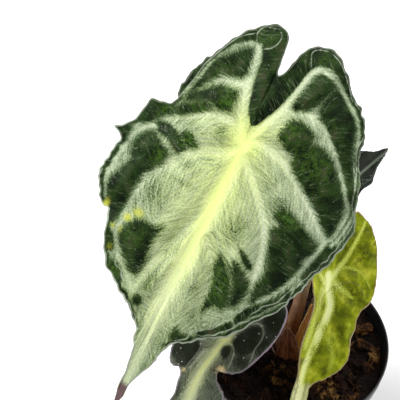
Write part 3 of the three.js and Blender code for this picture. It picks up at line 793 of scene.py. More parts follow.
def add_leaf_maps(piece, x, y, veins):
    """UV maps: the flat leaf, and, for each face, how far it lies along and away from its vein."""
    mesh = piece.data
    corner = np.empty(len(mesh.loops), np.int32)
    mesh.loops.foreach_get("vertex_index", corner)
    cx, cy = x.ravel()[corner], y.ravel()[corner]
    flat = mesh.uv_layers[0]
    flat.name = "flat"
    flat.data.foreach_set("uv", np.stack([cx, cy], 1).astype(np.float32).ravel())
    fx, fy = (c.reshape(-1, 4).mean(1) for c in (cx, cy))
    nearest = np.full(fx.shape, np.inf)
    along = np.zeros(corner.shape)
    away = np.zeros(corner.shape)
    for number, line in enumerate(veins):
        end = line[-1] - line[-2]
        line = np.vstack([line, line[-1] + VEIN_RUN_ON * end / np.hypot(*end)])
        far, _ = line_mm(line, fx, fy)
        mine = far < nearest
        nearest = np.where(mine, far, nearest)
        chosen = np.repeat(mine, 4)
        d, s = line_mm(line, cx[chosen], cy[chosen])
        along[chosen] = s + VEINS_APART * number - HAIR_SLANT * d
        away[chosen] = d
    strokes = mesh.uv_layers.new(name="strokes")
    strokes.data.foreach_set("uv", np.stack([along, away], 1).astype(np.float32).ravel())


def face_up(piece, front):
    select_only(piece)
    if sum(face.normal.dot(front) for face in piece.data.polygons) < 0:
        bpy.ops.object.mode_set(mode="EDIT")
        bpy.ops.mesh.select_all(action="SELECT")
        bpy.ops.mesh.flip_normals()
        bpy.ops.object.mode_set(mode="OBJECT")


def thicken(piece):
    """Gives the sheet its lower face, pushes the ribs out of it, and marks it for its own colour."""
    mesh = piece.data
    upper_count = len(mesh.vertices)
    wall = piece.modifiers.new("thickness", "SOLIDIFY")
    wall.thickness = BLADE_THICK * MM
    wall.offset = -1
    bpy.ops.object.modifier_apply(modifier=wall.name)
    count = len(mesh.vertices)
    thicker = np.zeros(count, np.float32)
    mesh.attributes["thicker"].data.foreach_get("value", thicker)
    under = np.arange(count) >= upper_count
    points = np.empty(count * 3, np.float32)
    mesh.vertices.foreach_get("co", points)
    normals = np.empty(count * 3, np.float32)
    mesh.vertices.foreach_get("normal", normals)
    push = (thicker * under)[:, None] * normals.reshape(-1, 3) * MM
    shape_points(piece, points.reshape(-1, 3) + push)
    add_values(piece, "under", under)


PRODUCT = {"operation": "MULTIPLY"}
SUM = {"operation": "MULTIPLY_ADD"}
LESS = {"operation": "SUBTRACT"}
LAYER = {"data_type": "RGBA"}
SOFT = {"interpolation_type": "SMOOTHSTEP"}
DUST_AND_GLINT_SPACING = {"voronoi_dimensions": "2D", "Scale": 0.2}


def leaf_skin(name, looks):
    """The skin of one leaf: dark fields, the pale net with its feathered edge, and the margin. Its
    patterns are drawn in millimetres on two maps: the flat leaf, and the strokes along the veins."""
    material, tree, shader = new_material(name)

    def pattern(uv, across, along, detail=3.0, rough=0.55):
        """A noise about zero, with so many marks to a millimetre."""
        mapped = node(tree, "Mapping", uv, Scale=(across, along, 1))
        marks = node(tree, "TexNoise", mapped, 1.0, detail, rough, noise_dimensions="2D")
        return node(tree, "Math", marks, 0.5, **LESS)

    def total(first, *parts):
        """The first value with each part added by its amount."""
        for part, amount in parts:
            first = node(tree, "Math", part, amount, first, **SUM)
        return first

    flat = node(tree, "UVMap", uv_map="flat")
    strokes = node(tree, "UVMap", uv_map="strokes")
    down = node(tree, "SeparateXYZ", flat, output="Y")
    stroke_along = node(tree, "SeparateXYZ", strokes, output="X")
    away = node(tree, "SeparateXYZ", strokes, output="Y")
    pale, glow, margin, under, moss, scar, fine = (
        node(tree, "Attribute", attribute_name=values, output="Fac")
        for values in ("pale", "glow", "margin_mm", "under", "moss", "scar", "fine_mm")
    )
    feather = pattern(strokes, 1.0, 0.3, 5.0, 0.65)
    ragged = pattern(strokes, 0.45, 0.12, 4.0)
    ribbed = pattern(strokes, 0.04, 0.9, 3.0, 0.6)
    speck = pattern(flat, 1.2, 1.2, 5.0, 0.75)
    sandy = pattern(flat, 0.85, 0.85, 2.0, 0.8)
    blotch = pattern(flat, 0.38, 0.38, 4.0, 0.7)
    cloud = pattern(flat, 0.12, 0.1)

    # How pale the leaf is painted: the net's soft edge is broken up by hair tufts and specks.
    middle = node(tree, "Math", node(tree, "Math", 1.0, pale, **LESS), pale, **PRODUCT)
    reach = total(looks["grain"], (middle, 4.2))
    tufts = node(tree, "Math", feather, looks["feather"], **PRODUCT)
    shaken = total(tufts, (ragged, looks["ragged"]), (speck, looks["speck"]))
    gold_ribs = node(tree, "Math", ribbed, glow, **PRODUCT)
    painted = total(pale, (shaken, reach), (sandy, looks["sand"]), (gold_ribs, 0.5))

    # The dark fields: clouded green, mossy in places, with short pale hairs combed off the veins.
    # On the main leaf the lightest clouds are brown-grey, a painted sheen.
    deep = node(tree, "ValToRGB", total(0.5, (cloud, 1.0), (speck, 0.3)), stops=looks["field"])
    patches = node(tree, "MapRange", total(blotch, (speck, 0.6)), -0.12, 0.16, **SOFT)
    mossy = node(tree, "Math", moss, patches, **PRODUCT)
    combed = node(tree, "CombineXYZ", total(stroke_along, (away, HAIR_SLANT - 0.35)), away)
    combed = pattern(combed, 0.9, 0.12, 5.0, 0.75)
    hair = node(tree, "MapRange", combed, 0.02, 0.3, 0.0, looks["hair"], **SOFT)
    thinning = node(tree, "MapRange", away, 4, 15, 1.0, 0.3, **SOFT)
    hair = node(tree, "Math", hair, thinning, **PRODUCT)
    for amount, colour in ((mossy, looks["moss"]), (hair, looks["hair_colour"])):
        deep = node(tree, "Mix", amount, deep, colour, **LAYER)

    # The net over them: silver, turning gold where it glows, and duller near the margin.
    edge_dull = node(tree, "MapRange", margin, 0, 22, looks["edge_dull"], 0.0, **SOFT)
    dulled = node(tree, "Math", painted, edge_dull, **LESS)
    silver = node(tree, "ValToRGB", dulled, stops=looks["net"])
    golden = node(tree, "ValToRGB", painted, stops=looks["gold"])
    middle_glow = node(tree, "Math", node(tree, "Math", 1.0, glow, **LESS), glow, **PRODUCT)
    frayed = node(tree, "Math", ribbed, middle_glow, **PRODUCT)
    net = node(tree, "Mix", total(glow, (frayed, 4.0)), silver, golden, **LAYER)
    cover = node(tree, "MapRange", painted, 0.08, 0.46, **SOFT)
    skin = node(tree, "Mix", cover, deep, net, **LAYER)

    # Over both: white specks 5 mm apart on a quarter of the dots, which are dust, and on the second leaf
    # painted glints; then fine creases, the thin rim, healed scars, the withered tip, and the colour of the
    # underside.
    dots = node(tree, "TexVoronoi", flat, **DUST_AND_GLINT_SPACING)
    dust_and_glint_specks = node(tree, "MapRange", dots, 0.03, 0.08, looks["dust"], 0.0, **SOFT)
    chance = node(tree, "SeparateXYZ", node(tree, "TexVoronoi", flat, output="Color", **DUST_AND_GLINT_SPACING))
    chosen = node(tree, "MapRange", chance, 0.72, 0.77, **SOFT)
    lower = node(tree, "MapRange", down, looks["rim_from"], looks["rim_to"], 0.35, 1.0, **SOFT)
    rim = total(margin, (cloud, 1.2))
    rim = node(tree, "MapRange", rim, looks["rim_width"] * 0.4, looks["rim_width"], 1.0, 0.0, **SOFT)
    tip_colour, tip_from, tip_to = looks["tip"]
    layers = (
        (node(tree, "Math", dust_and_glint_specks, chosen, **PRODUCT), "#dde3d8"),
        (node(tree, "MapRange", fine, 0.05, 0.5, looks["fine_strength"], 0.0, **SOFT), looks["fine"]),
        (node(tree, "Math", rim, lower, **PRODUCT), looks["rim"]),
        (node(tree, "MapRange", total(scar, (speck, 1.2)), 0.25, 1.1, 0.0, 0.9, **SOFT), looks["scar"]),
        (node(tree, "MapRange", total(down, (speck, 6.0)), tip_from, tip_to, **SOFT), tip_colour),
        (under, node(tree, "ValToRGB", painted, stops=looks["under"])),
    )
    for amount, colour in layers:
        skin = node(tree, "Mix", amount, skin, colour, **LAYER)
    relief = node(tree, "Math", painted, 0.3, **PRODUCT)
    relief = total(relief, (feather, 0.5), (speck, 0.5))
    finish(
        tree, shader, Base_Color=skin, Roughness=looks["roughness"],
        IOR=1.4, Specular_IOR_Level=looks["gloss"],
        Subsurface_Weight=0.06, Subsurface_Radius=(0.0010, 0.0014, 0.0004),
        Normal=node(tree, "Bump", Strength=looks["bump"], Distance=0.0004, Height=relief),
    )
    return material


# Main leaf. The oldest sound blade: dark green fields in a wide silver-green net that glows
# yellow along the midrib, its lower margin edged by two thin wavy lines.
MAIN_LEAF = {
    "at": (-34, 13, 242), "turn": (45, 0, -26), "pole": (0, -40), "grid": 221,
    "outline": [
        (1, 38.5), (2.5, 40), (3.5, 42.5), (5, 48), (6.5, 53), (9, 58), (13, 62), (20, 63.5), (28, 59),
        (36, 52), (39, 48), (46, 43), (52, 36), (55, 30), (56, 24), (60, 15), (65, 3), (68, -5),
        (72, -14), (71, -23), (69, -30), (66, -40), (63, -47), (60, -55), (57, -62), (54, -70), (47, -78),
        (40, -88), (32, -95), (21, -103), (12.5, -108.5), (10.5, -112), (8.5, -119), (8, -123),
        (4.5, -131), (1.8, -139), (1.5, -145), (-1, -151.5), (-2.3, -146), (-2.5, -139), (-3, -133),
        (-4, -126), (-5, -118.5), (-7.2, -114), (-8, -109), (-13, -104), (-18.5, -98.5), (-26, -94),
        (-34.5, -88), (-39, -82.5), (-43, -74.5), (-45, -68), (-48, -60.5), (-51.5, -59), (-54.5, -56.5),
        (-57.5, -51.5), (-60, -45), (-60, -37), (-59.5, -31.5), (-58, -26), (-60, -22.5), (-63.5, -20.5),
        (-60, -18), (-55, -12), (-54, -5), (-52, 0.5), (-47, 1.5), (-41.5, 3), (-40, 6), (-41.5, 11.5),
        (-40.5, 18), (-37, 29), (-32, 37), (-28, 46), (-23, 53), (-16, 60), (-11, 62), (-6.5, 61.5),
        (-3, 59.5), (-2, 57), (-1.5, 52.5), (-1, 48), (-0.5, 43.5), (0, 40),
    ],
    "veins": {
        "midrib": [(0, 0), (0, -12.5), (-0.5, -26.5), (-0.5, -60), (-1.5, -79.5), (-2, -98.5), (-1, -116),
            (0, -146)],
        "left_lobe": [(0, 0), (-5.5, 7.5), (-8.5, 17), (-11, 25.5), (-13, 35), (-13.5, 43.5), (-14, 48)],
        "right_lobe": [(0, 0), (3, 8), (7.5, 17.5), (11.5, 27), (13.5, 38), (16, 47.5), (19, 51)],
        "left_lobe_side": [(-14, 26.5), (-21, 25.5), (-27.5, 20), (-32.5, 14.5), (-36.5, 8.5),
            (-38.5, 3.5)],
        "left_rear": [(-5, 6), (-12, 7), (-21.5, 5.5), (-30.5, 0.5), (-39, -5), (-46.5, -12.5),
            (-52.5, -20), (-54.5, -27), (-55.5, -35), (-55.5, -43), (-53.5, -51.5), (-49.5, -59)],
        "left_middle": [(-1, -4.5), (-8.5, -9.5), (-18, -13.5), (-25.5, -21), (-32, -30.5),
            (-36.5, -39.5), (-38.5, -49.5), (-39, -58.5), (-39, -67), (-35.5, -75), (-31.5, -80.5),
            (-20, -90)],
        "left_front": [(-1, -32.5), (-3, -43.5), (-7, -53.5), (-10.5, -63.5), (-14, -74), (-17, -87),
            (-18, -92)],
        "right_lobe_side": [(11, 24), (19, 27), (26, 27), (33, 25), (39.5, 19.5), (46.5, 13.5), (54, 5.5),
            (59.5, -2), (64.5, -7.5), (64.5, -15), (63.5, -23)],
        "right_rear": [(2.5, 3), (10, 3), (18.5, 1), (28, -3), (37, -9), (45, -14.5), (53, -21),
            (60.5, -26.5), (59, -33), (57, -40), (55, -48), (52.5, -54.5), (47.5, -63.5), (42.5, -69.5)],
        "right_middle": [(3, -7), (12, -15), (21, -24.5), (27.5, -32.5), (32, -42), (34.5, -53.5),
            (35.5, -63), (37, -71), (35.5, -76)],
        "right_front": [(4, -52.5), (12, -61), (16.5, -72), (16.5, -80.5), (17.5, -88.5)],
    },
    "net": [
        (-12, 47), (-16.5, 50), (-21, 48), (-26, 44), (-30, 38), (-33.5, 30.5), (-35.5, 22.5),
        (-37.5, 15), (-39.5, 7.5), (-40.5, 2.5), (-43, -3), (-48, -10), (-54.5, -14.5), (-59, -19),
        (-59, -26.5), (-58.5, -37.5), (-57.5, -44), (-55.5, -50.5), (-52, -57.5), (-47.5, -62),
        (-44, -67.5), (-42.5, -75.5), (-37.5, -83.5), (-33, -88), (-26.5, -91.5), (-20, -96),
        (-15.5, -99.5), (-10.5, -104.5), (-8.5, -108), (-9, -116), (-6, -126.5), (-4, -160), (6.5, -160),
        (10.5, -125), (14, -111.5), (18.5, -106), (24.5, -100), (32.5, -93.5), (40, -85.5), (47, -76.5),
        (54.5, -67.5), (60, -58.5), (62, -51), (66, -43.5), (69, -35.5), (70.5, -27.5), (72.5, -21),
        (72.5, -12.5), (71.5, -6), (69, 1.5), (65.5, 8.5), (59.5, 17), (55.5, 23.5), (54, 29.5),
        (48.5, 36.5), (41.5, 42.5), (36, 47), (30, 51), (24, 53.5), (19.5, 53), (16, 51), (14, 47.5),
        (12.5, 40), (10.5, 32), (8, 23), (4.5, 15.5), (2, 10.5), (-0.5, 9.5), (-5, 16), (-7.5, 25),
        (-9, 33.5), (-10, 42),
    ],
    "soft": 3.2, "haze": 0.7,
    "fields": [
        # Left rear lobe.
        [(-28.5, 33.5), (-25.5, 37.5), (-22, 41.5), (-18.5, 45), (-16.5, 45), (-15, 41.5), (-14, 36.5),
         (-13.5, 32.5), (-15.5, 29), (-19, 28), (-23, 27.5), (-26.5, 29.5)],
        [(-29.5, 32.5), (-32.5, 30.5), (-34.5, 26.5), (-35.5, 22), (-36.5, 16), (-36.5, 12.5),
         (-33, 15.5), (-30.5, 19.5), (-28, 22.5), (-26.5, 25.5), (-27, 29.5)],
        # Left side, from the lobe to the front.
        [(-37, 7.5), (-34.5, 12.5), (-30.5, 16), (-26.5, 19.5), (-22.5, 21.5), (-17, 22), (-14, 22.5),
         (-13, 19), (-12.5, 15.5), (-12, 12), (-14, 10.5), (-18, 9.5), (-21, 10), (-23, 11.5),
         (-27, 10.5), (-33.5, 7.5)],
        [(-37.5, 3.5), (-34, 6), (-29, 9), (-24, 10.5), (-22, 9), (-23, 7), (-27.5, 4), (-31.5, 1),
         (-34.5, -1), (-38, 0.5)],
        [(-51.5, -11.5), (-50.5, -6.5), (-48.5, -2), (-45.5, 1), (-41, 1.5), (-37, -1), (-41, -3),
         (-43.5, -6), (-47, -9.5)],
        [(-59.5, -19.5), (-57.5, -17), (-54.5, -17), (-54.5, -20.5), (-55, -23.5), (-56.5, -26.5),
         (-59.5, -24.5)],
        [(-49.5, -29), (-50.5, -24), (-49, -19.5), (-46.5, -16), (-43.5, -14), (-41, -15), (-38, -17.5),
         (-34.5, -19.5), (-32, -20.5), (-31.5, -24), (-33, -27.5), (-36, -30.5), (-39.5, -32.5),
         (-42.5, -33.5), (-43.5, -30.5), (-47.5, -30.5)],
        [(-45, -9.5), (-41.5, -7.5), (-37, -8), (-33, -9.5), (-29, -12.5), (-25, -15.5), (-26, -17),
         (-30, -16.5), (-34, -14), (-37.5, -11.5), (-42, -11)],
        [(-30.5, -9.5), (-28.5, -7), (-25, -7.5), (-22.5, -10), (-19.5, -12.5), (-22, -14), (-25, -14),
         (-28, -12)],
        [(-52, -52.5), (-53.5, -48), (-53, -43.5), (-51, -40), (-48.5, -37.5), (-44.5, -36), (-41, -35.5),
         (-39.5, -40), (-40, -44), (-40.5, -52), (-40.5, -60), (-41.5, -63.5), (-43, -66), (-46.5, -62),
         (-50, -58)],
        [(-36, -71), (-36, -66.5), (-35, -62.5), (-33, -59.5), (-28.5, -57.5), (-21, -58), (-17.5, -55.5),
         (-18.5, -60), (-19.5, -66), (-18.5, -75), (-19, -79.5), (-20, -83.5), (-24, -83.5), (-27, -80.5),
         (-30, -78), (-33, -74.5)],
        # Small cells along the left front margin.
        [(-34.5, -87.5), (-35, -84), (-31.5, -83.5), (-28, -86), (-25, -90), (-27.5, -92), (-32, -90.5)],
        [(-42, -75), (-43, -69.5), (-39, -72.5), (-36, -77), (-39, -79)],
        [(-24, -94), (-21.5, -93.5), (-18.5, -96), (-20, -97.5)],
        [(-16, -95.5), (-15, -93), (-12, -94), (-11.5, -97.5), (-14, -98)],
        # Right of the midrib, then the large fields of the right side.
        [(17, -72), (14.5, -65.5), (13.5, -60.5), (14, -56), (18, -58), (21.5, -62), (25, -66.5),
         (27.5, -72.5), (28.5, -78), (27, -81), (23, -81), (20.5, -84), (18.5, -86.5), (17.5, -82.5),
         (17.5, -78.5)],
        [(21, -57), (22, -55), (26.5, -57.5), (31.5, -61), (34.5, -64.5), (35, -69), (33.5, -73.5),
         (32, -77), (30, -77.5), (28.5, -72.5), (26.5, -67), (23.5, -62)],
        [(20.5, -48), (24, -49.5), (29, -52.5), (32, -56), (29.5, -56.5), (25, -53.5)],
        [(35, -43), (33, -37.5), (32, -32.5), (34.5, -29.5), (30, -26.5), (33, -22), (38, -22),
         (43.5, -24), (48.5, -26), (54, -28.5), (57, -31), (56.5, -35.5), (54, -39.5), (54.5, -44.5),
         (54, -49.5), (53, -54), (51, -58), (49, -62.5), (46, -65.5), (42.5, -68.5), (39.5, -72),
         (37.5, -69.5), (37.5, -64), (38, -59), (39, -54), (37, -49)],
        [(15.5, 9.5), (14.5, 13.5), (15, 17), (17, 21), (21, 22.5), (25, 22), (29, 20.5), (31.5, 18.5),
         (31, 15), (28, 11.5), (25.5, 8.5), (23.5, 6), (20.5, 8.5), (17.5, 9.5)],
        [(28, -1.5), (26.5, 2.5), (27, 6.5), (29.5, 10.5), (33.5, 13), (38, 14.5), (43, 13), (47, 10),
         (50.5, 7), (54, 2.5), (58, -2), (60.5, -6), (62, -11), (62, -20.5), (61, -24.5), (58, -23),
         (54, -20), (50, -16), (45.5, -13), (41.5, -10.5), (37.5, -8), (33.5, -5.5), (31, -3.5)],
        # Right rear lobe.
        [(14.5, 27), (15, 31.5), (16.5, 37), (18, 41.5), (19.5, 46.5), (21.5, 49.5), (25, 48.5),
         (29, 46.5), (27, 41), (24.5, 36), (22, 30.5), (18.5, 27.5)],
        [(27.5, 31), (28, 36.5), (29.5, 41.5), (32.5, 45), (36.5, 44), (41, 41.5), (44.5, 38.5),
         (47.5, 34.5), (49.5, 29.5), (52.5, 20.5), (54, 17), (58.5, 11), (62, 4), (65, -3), (66.5, -9),
         (61.5, -3.5), (57.5, 2), (53.5, 6.5), (49, 11.5), (45.5, 15), (42, 19), (37, 22.5), (33, 26),
         (29.5, 28.5)],
        # Cells between the two lines of the right and front margin.
        [(57.5, -48.5), (58.5, -44), (59, -38.5), (60.5, -33.5), (62, -28), (64, -24.5), (66.5, -25),
         (67, -29), (65, -35), (63, -40.5), (61, -45.5), (59.5, -49)],
        [(66.5, -6.5), (69, -11), (68.5, -17), (67, -22.5), (64.5, -22.5), (65.5, -17), (66.5, -11.5)],
        [(44.5, -68.5), (49.5, -65), (53, -60.5), (54, -62.5), (51, -67), (46, -72), (42.5, -76),
         (40.5, -74.5)],
        [(35, -82), (37.5, -77.5), (40, -74.5), (41.5, -77), (39.5, -81), (36, -84)],
        [(21.5, -97.5), (25, -94.5), (29, -91), (32.5, -87.5), (34, -85), (35.5, -87.5), (32.5, -91),
         (28, -95.5), (23, -99)],
        [(9.5, -105), (11, -99.5), (13.5, -101.5), (19, -100.5), (17, -103.5), (13, -107)],
        [(21.5, -97.5), (24, -95.5), (27.5, -92.5), (30.5, -89), (33, -85.5), (35, -85), (35.5, -87.5),
         (32.5, -91), (28.5, -94.5), (25, -97.5)],
        [(36, -83.5), (36.5, -80.5), (38.5, -77), (40, -75), (41.5, -77), (41, -80), (38.5, -82.5),
         (37, -85)],
        [(42.5, -77), (43.5, -75), (46.5, -72.5), (47.5, -69.5), (50, -66.5), (52, -65), (52, -66.5),
         (50, -69.5), (48, -72.5), (45.5, -75), (43, -78)],
        [(27, -98.5), (30.5, -96), (33.5, -93), (36, -89), (36.5, -90.5), (33, -94), (30, -97)],
        [(38, -86), (40.5, -83.5), (43, -81), (44, -79), (44, -81.5), (41.5, -84.5), (39.5, -87)],
        [(53, -65), (55.5, -62.5), (56.5, -60), (57, -57.5), (57.5, -53), (59, -53), (58.5, -57),
         (57, -61.5), (55.5, -64.5)],
        [(52, -62), (53, -59.5), (53.5, -57), (55, -57.5), (55.5, -59.5), (54.5, -61.5)],
        # Cells at the rear and left margin.
        [(35.5, 49), (40, 44.5), (43, 42.5), (46.5, 40.5), (50.5, 36), (52.5, 31.5), (52.5, 26),
         (50.5, 31), (48, 36), (44.5, 40), (40, 43), (36.5, 45)],
        [(-57, -29), (-56, -30.5), (-57, -35.5), (-57, -41), (-59, -40), (-58.5, -35)],
        [(-59, -44.5), (-58, -43), (-56.5, -48), (-53.5, -53.5), (-55, -53), (-57.5, -48.5)],
        [(-43.5, -69.5), (-40.5, -70.5), (-38, -73.5), (-37, -77.5), (-39.5, -76.5), (-42.5, -73)],
        # Front cell, then patches that join fields across a thin vein.
        [(7, -111.5), (8.5, -110), (13.5, -106.5), (18.5, -102), (20, -100), (20, -102.5), (15.5, -105.5),
         (11.5, -109)],
        [(15, 12.5), (20.5, 12), (26, 13), (32.5, 14.5), (37.5, 14.5), (37, 9), (30.5, 7), (26, 5.5),
         (21.5, 6.5), (17.5, 9)],
        [(15.5, 26.5), (16, 32.5), (18.5, 39), (19.5, 46.5), (22, 49), (27.5, 47), (31.5, 44.5),
         (28, 41.5), (26, 36), (24.5, 32), (20, 28.5)],
        [(-42, -10.5), (-38, -9.5), (-33, -11), (-29, -13.5), (-26.5, -16.5), (-27.5, -19.5), (-32, -17),
         (-36.5, -14.5), (-42, -13)],
        [(-49.5, -38), (-49, -34), (-46, -30.5), (-40.5, -29.5), (-36, -31.5), (-41, -36), (-45, -39)],
    ],
    "dim": [
        (-12.5, 0, 4.5, 4, 0.5), (15.5, -41.5, 6, 7, 0.45), (-20.5, -31.5, 9, 2, 0.3),
        (-12.5, -15.5, 6, 3, 0.2), (-31, -42, 10, 14, 0.4), (-22, -22, 8, 3, 0.3), (31, -21, 6, 5, 0.5),
        (-7, 14, 4, 8, 0.12), (-26, -4, 9, 3, 0.2), (-12, -55, 4, 10, 0.25), (14, -90, 5, 5, 0.2),
        (-11, -65, 3, 4, 0.3), (10.5, -77.5, 3, 8, 0.3), (-12, -83.5, 4, 7, 0.35), (20, -12, 4, 7, 0.2),
    ],
    "bands": [
        ("midrib", 11, 8, 1.0),
        ("left_lobe", 7, 4, 0.92),
        ("right_lobe", 6, 3, 0.95),
        ("left_lobe_side", 4, 2.5, 0.9),
        ([(-5, 6), (-12, 7), (-21.5, 5.5), (-30.5, 0.5), (-39, -5), (-46.5, -12.5), (-52.5, -20),
          (-55, -31), (-55.5, -43), (-53.5, -51.5), (-49.5, -59)], 5, 3, 0.9),
        ([(-1, -4.5), (-8.5, -9.5), (-18, -13.5), (-25.5, -21), (-32, -30.5), (-36.5, -39.5),
          (-38.5, -49.5), (-39, -67), (-35.5, -75), (-31.5, -80.5), (-20, -90)], 8, 4, 0.86),
        ("left_front", 7, 5, 0.85),
        ("right_lobe_side", 3.5, 3.2, 0.9),
        ("right_rear", 5, 3.5, 0.95),
        ([(3, -7), (12, -15), (21, -24.5), (27.5, -32.5), (32, -42), (34.5, -53.5), (35.5, -63),
          (37, -71)], 7, 3.5, 0.9),
        ("right_front", 4, 3, 0.8),
        ([(-52.5, -13), (-54, -21), (-56, -30.5), (-57, -35.5), (-57, -41), (-55, -50), (-53, -54),
          (-50, -56.5)], 2, 1.6, 0.85),
        ([(-41.5, -60.5), (-41.5, -66.5), (-40.5, -70), (-37, -73), (-34.5, -77.5), (-31.5, -81.5),
          (-28, -85.5), (-19.5, -91.5)], 2.6, 1.6, 0.85),
    ],
    "rings": [
        ([(-14, 48.5), (-20.5, 46.5), (-25.5, 42.5), (-29.5, 37), (-33, 29.5), (-35, 21.5), (-37, 14),
          (-39, 6.5)], 1.5, 0.75),
        ([(19, 51.5), (30, 48.5), (35.5, 45.5), (41, 41.5), (47, 36.5), (51.5, 30.5), (54, 23), (61, 9.5),
          (66, 0), (68, -7.5), (67.5, -15), (66, -23), (64, -27)], 1.7, 0.85),
        ([(33, 25), (39.5, 19.5), (46.5, 13.5), (54, 5.5), (59.5, -2), (64.5, -7.5), (64.5, -15),
          (63.5, -23), (60.5, -26.5)], 1.8, 0.8),
        ([(60.5, -26.5), (59, -33), (57, -40), (55, -48), (52.5, -54.5), (47.5, -63.5),
          (42.5, -69.5)], 1.9, 0.8),
        ([(-53.5, -17), (-54.5, -27), (-55.5, -35), (-55.5, -43), (-53.5, -51.5), (-49.5, -59),
          (-44, -66)], 1.5, 0.7),
        ([(-36.5, -39.5), (-38.5, -49.5), (-39, -58.5), (-39, -67), (-35.5, -75), (-31.5, -80.5),
          (-25, -86)], 1.9, 0.75),
    ],
    "fine": [
        [(-12.5, 47.5), (-9, 49), (-6.5, 52.5), (-6, 57), (-8.5, 60), (-12.5, 59.5), (-16.5, 58),
         (-18, 54), (-16.5, 50)],
        [(-18, 54), (-23.5, 50), (-28, 44), (-30.5, 38), (-33, 33), (-35.5, 27.5), (-36.5, 21.5),
         (-37.5, 15.5), (-40, 5.5)],
        [(14.5, 50), (12.5, 53.5), (11.5, 57.5), (14.5, 60.5), (19.5, 61.5), (25.5, 59), (32, 54),
         (37, 49), (40, 45.5)],
        [(13, -106.5), (15.5, -104.5), (17.5, -102), (18, -99), (20, -96.5), (22, -95.5), (25.5, -94),
         (27.5, -91), (31, -86), (33.5, -83.5), (35.5, -78.5), (39.5, -73)],
        [(17.5, -102), (20, -97.5), (23.5, -98.5), (26.5, -97), (29.5, -95), (34.5, -89.5), (37, -85.5),
         (39.5, -82.5), (42, -81), (45, -76.5), (49, -71), (53, -66), (56.5, -61), (56.5, -58),
         (55.5, -56.5), (58, -51.5), (61, -45.5), (64, -37.5), (66.5, -29.5), (68.5, -21), (69.5, -15),
         (69.5, -10), (67, -6.5), (64.5, -3.5), (60.5, 7), (55.5, 16.5)],
        [(36, -85.5), (34.5, -83.5), (33.5, -83.5)],
        [(42.5, -78), (43.5, -74), (47.5, -69), (52, -64), (54, -59), (55, -54)],
        [(27.5, 58), (32.5, 53.5), (37, 49), (40, 45.5), (44, 43), (48, 40.5), (51.5, 36.5), (54, 32),
         (54, 23), (59, 13), (62.5, 3)],
        [(-60, -43), (-58.5, -48), (-56, -52.5), (-53.5, -57)],
        [(-32.5, -83), (-29.5, -85), (-26.5, -87.5), (-23.5, -90)],
        [(-20.5, -97.5), (-16, -99.5), (-11.5, -103.5), (-8.5, -107.5)],
    ],
    "faint": [
        [(-43, -12), (-38.5, -11.5), (-33.5, -14), (-30, -16), (-27, -17.5)],
        [(-46, -14.5), (-42, -14), (-38, -16.5), (-34, -19)],
        [(26, 33), (27.5, 38), (29, 43), (31.5, 46)],
        [(30, 31), (30.5, 38), (33, 42.5), (36, 45.5)],
        [(31, -4), (35, 0.5), (38.5, 3.5)],
        [(33.5, -28), (41, -30), (48.5, -32.5)],
        [(23, -53.5), (26.5, -58.5), (28, -64.5), (31.5, -68)],
    ],
    "moss": [
        (-11.5, 53, 6, 5, 0.35), (-16.5, 16, 6, 6, 0.9), (-24.5, -11.5, 6, 5, 1.0), (-43, -3, 5, 4, 0.7),
        (18.5, 15.5, 6, 6, 0.7), (36.5, 5.5, 14, 8, 0.6), (36.5, -24, 9, 5, 0.8), (19, -70, 6, 9, 0.8),
        (-31.5, -67, 8, 6, 0.5), (-32, -86.5, 4, 4, 0.9), (-34, -23, 6, 6, 0.8), (-26.5, 29.5, 4, 4, 0.5),
        (-27.5, 6.5, 6, 4, 0.6), (19, 57, 5, 4, 0.3),
    ],
    "scars": [
        (-50, -58, 2.2, 4, 1.0), (-41.5, -66.5, 2, 2, 0.8), (-36.5, -59.5, 3, 2.6, 1.0),
        (-37.5, -66.5, 2, 3, 0.7), (-32.5, -55, 4, 3.4, 0.9), (-38.5, -77, 2.5, 3, 0.6),
    ],
    "glow": (13, 18, 7, 26), "edge_band": (1.4, 1.0, 0.6), "fine_wave": 0.45,
    "calm": [(1, 46, 10, 20, 1.0), (0, -128, 14, 24, 1.0), (-1, -102, 12, 16, 0.8)],
    "tooth": 0.4,
    "form": lambda x, y: (
        -9 * (x / 60) ** 2 - 16 * (below(-30, y) / 110) ** 2 - 5 * (below(-10, -y) / 50) ** 2
    ),
    "puff": 2.4, "puff_width": 6, "ruffle": 2.2, "crinkle": 0.5, "rim_reach": 24, "waves": 17,
    "ripples": 27, "quilt_depth": 0.35, "rib": 1.6,
}
# Main leaf skin: a matt, felted surface. Its net is made of short silver hairs, so it catches no
# glint; the fields are deep green, with brown-grey clouds in them that are painted sheen, and the tip
# is withered to dull purple.
main_skin = leaf_skin("silver_green_leaf_skin", {
    "grain": 0.2, "feather": 0.55, "ragged": 0.55, "speck": 0.9, "sand": 0.36, "dust": 0.15,
    "hair": 0.8, "hair_colour": "#6d7c5a",
    # The brown-grey top stops of this field ramp are painted sheen, not a colour of the leaf.
    "field": [(0.3, "#0a1406"), (0.45, "#14230b"), (0.58, "#213513"), (0.7, "#303620"), (0.82, "#41422c")],
    "moss": "#43621f",
    "net": [(0.15, "#33462a"), (0.4, "#5f704f"), (0.6, "#88967a"), (0.8, "#aab596"), (0.97, "#ccd5b8")],
    "gold": [(0.2, "#7b8f4a"), (0.5, "#abb969"), (0.8, "#c8d57c"), (1.0, "#dbe78f")],
    "fine": "#a9b39d", "fine_strength": 0.7,
    "rim": "#969e8c", "rim_width": 1.1, "rim_from": 10, "rim_to": -40,
    "scar": "#b2b73e", "under": [(0.0, "#4a3a3c"), (0.5, "#6d6458"), (1.0, "#a9ab7d")],
    "tip": ("#5f4c4d", -137, -141), "roughness": 0.5, "gloss": 0.08, "bump": 0.5, "edge_dull": 0.2,
})
put(blade("main_leaf", MAIN_LEAF), main_skin, "leaf_pale_green", "blade_1")


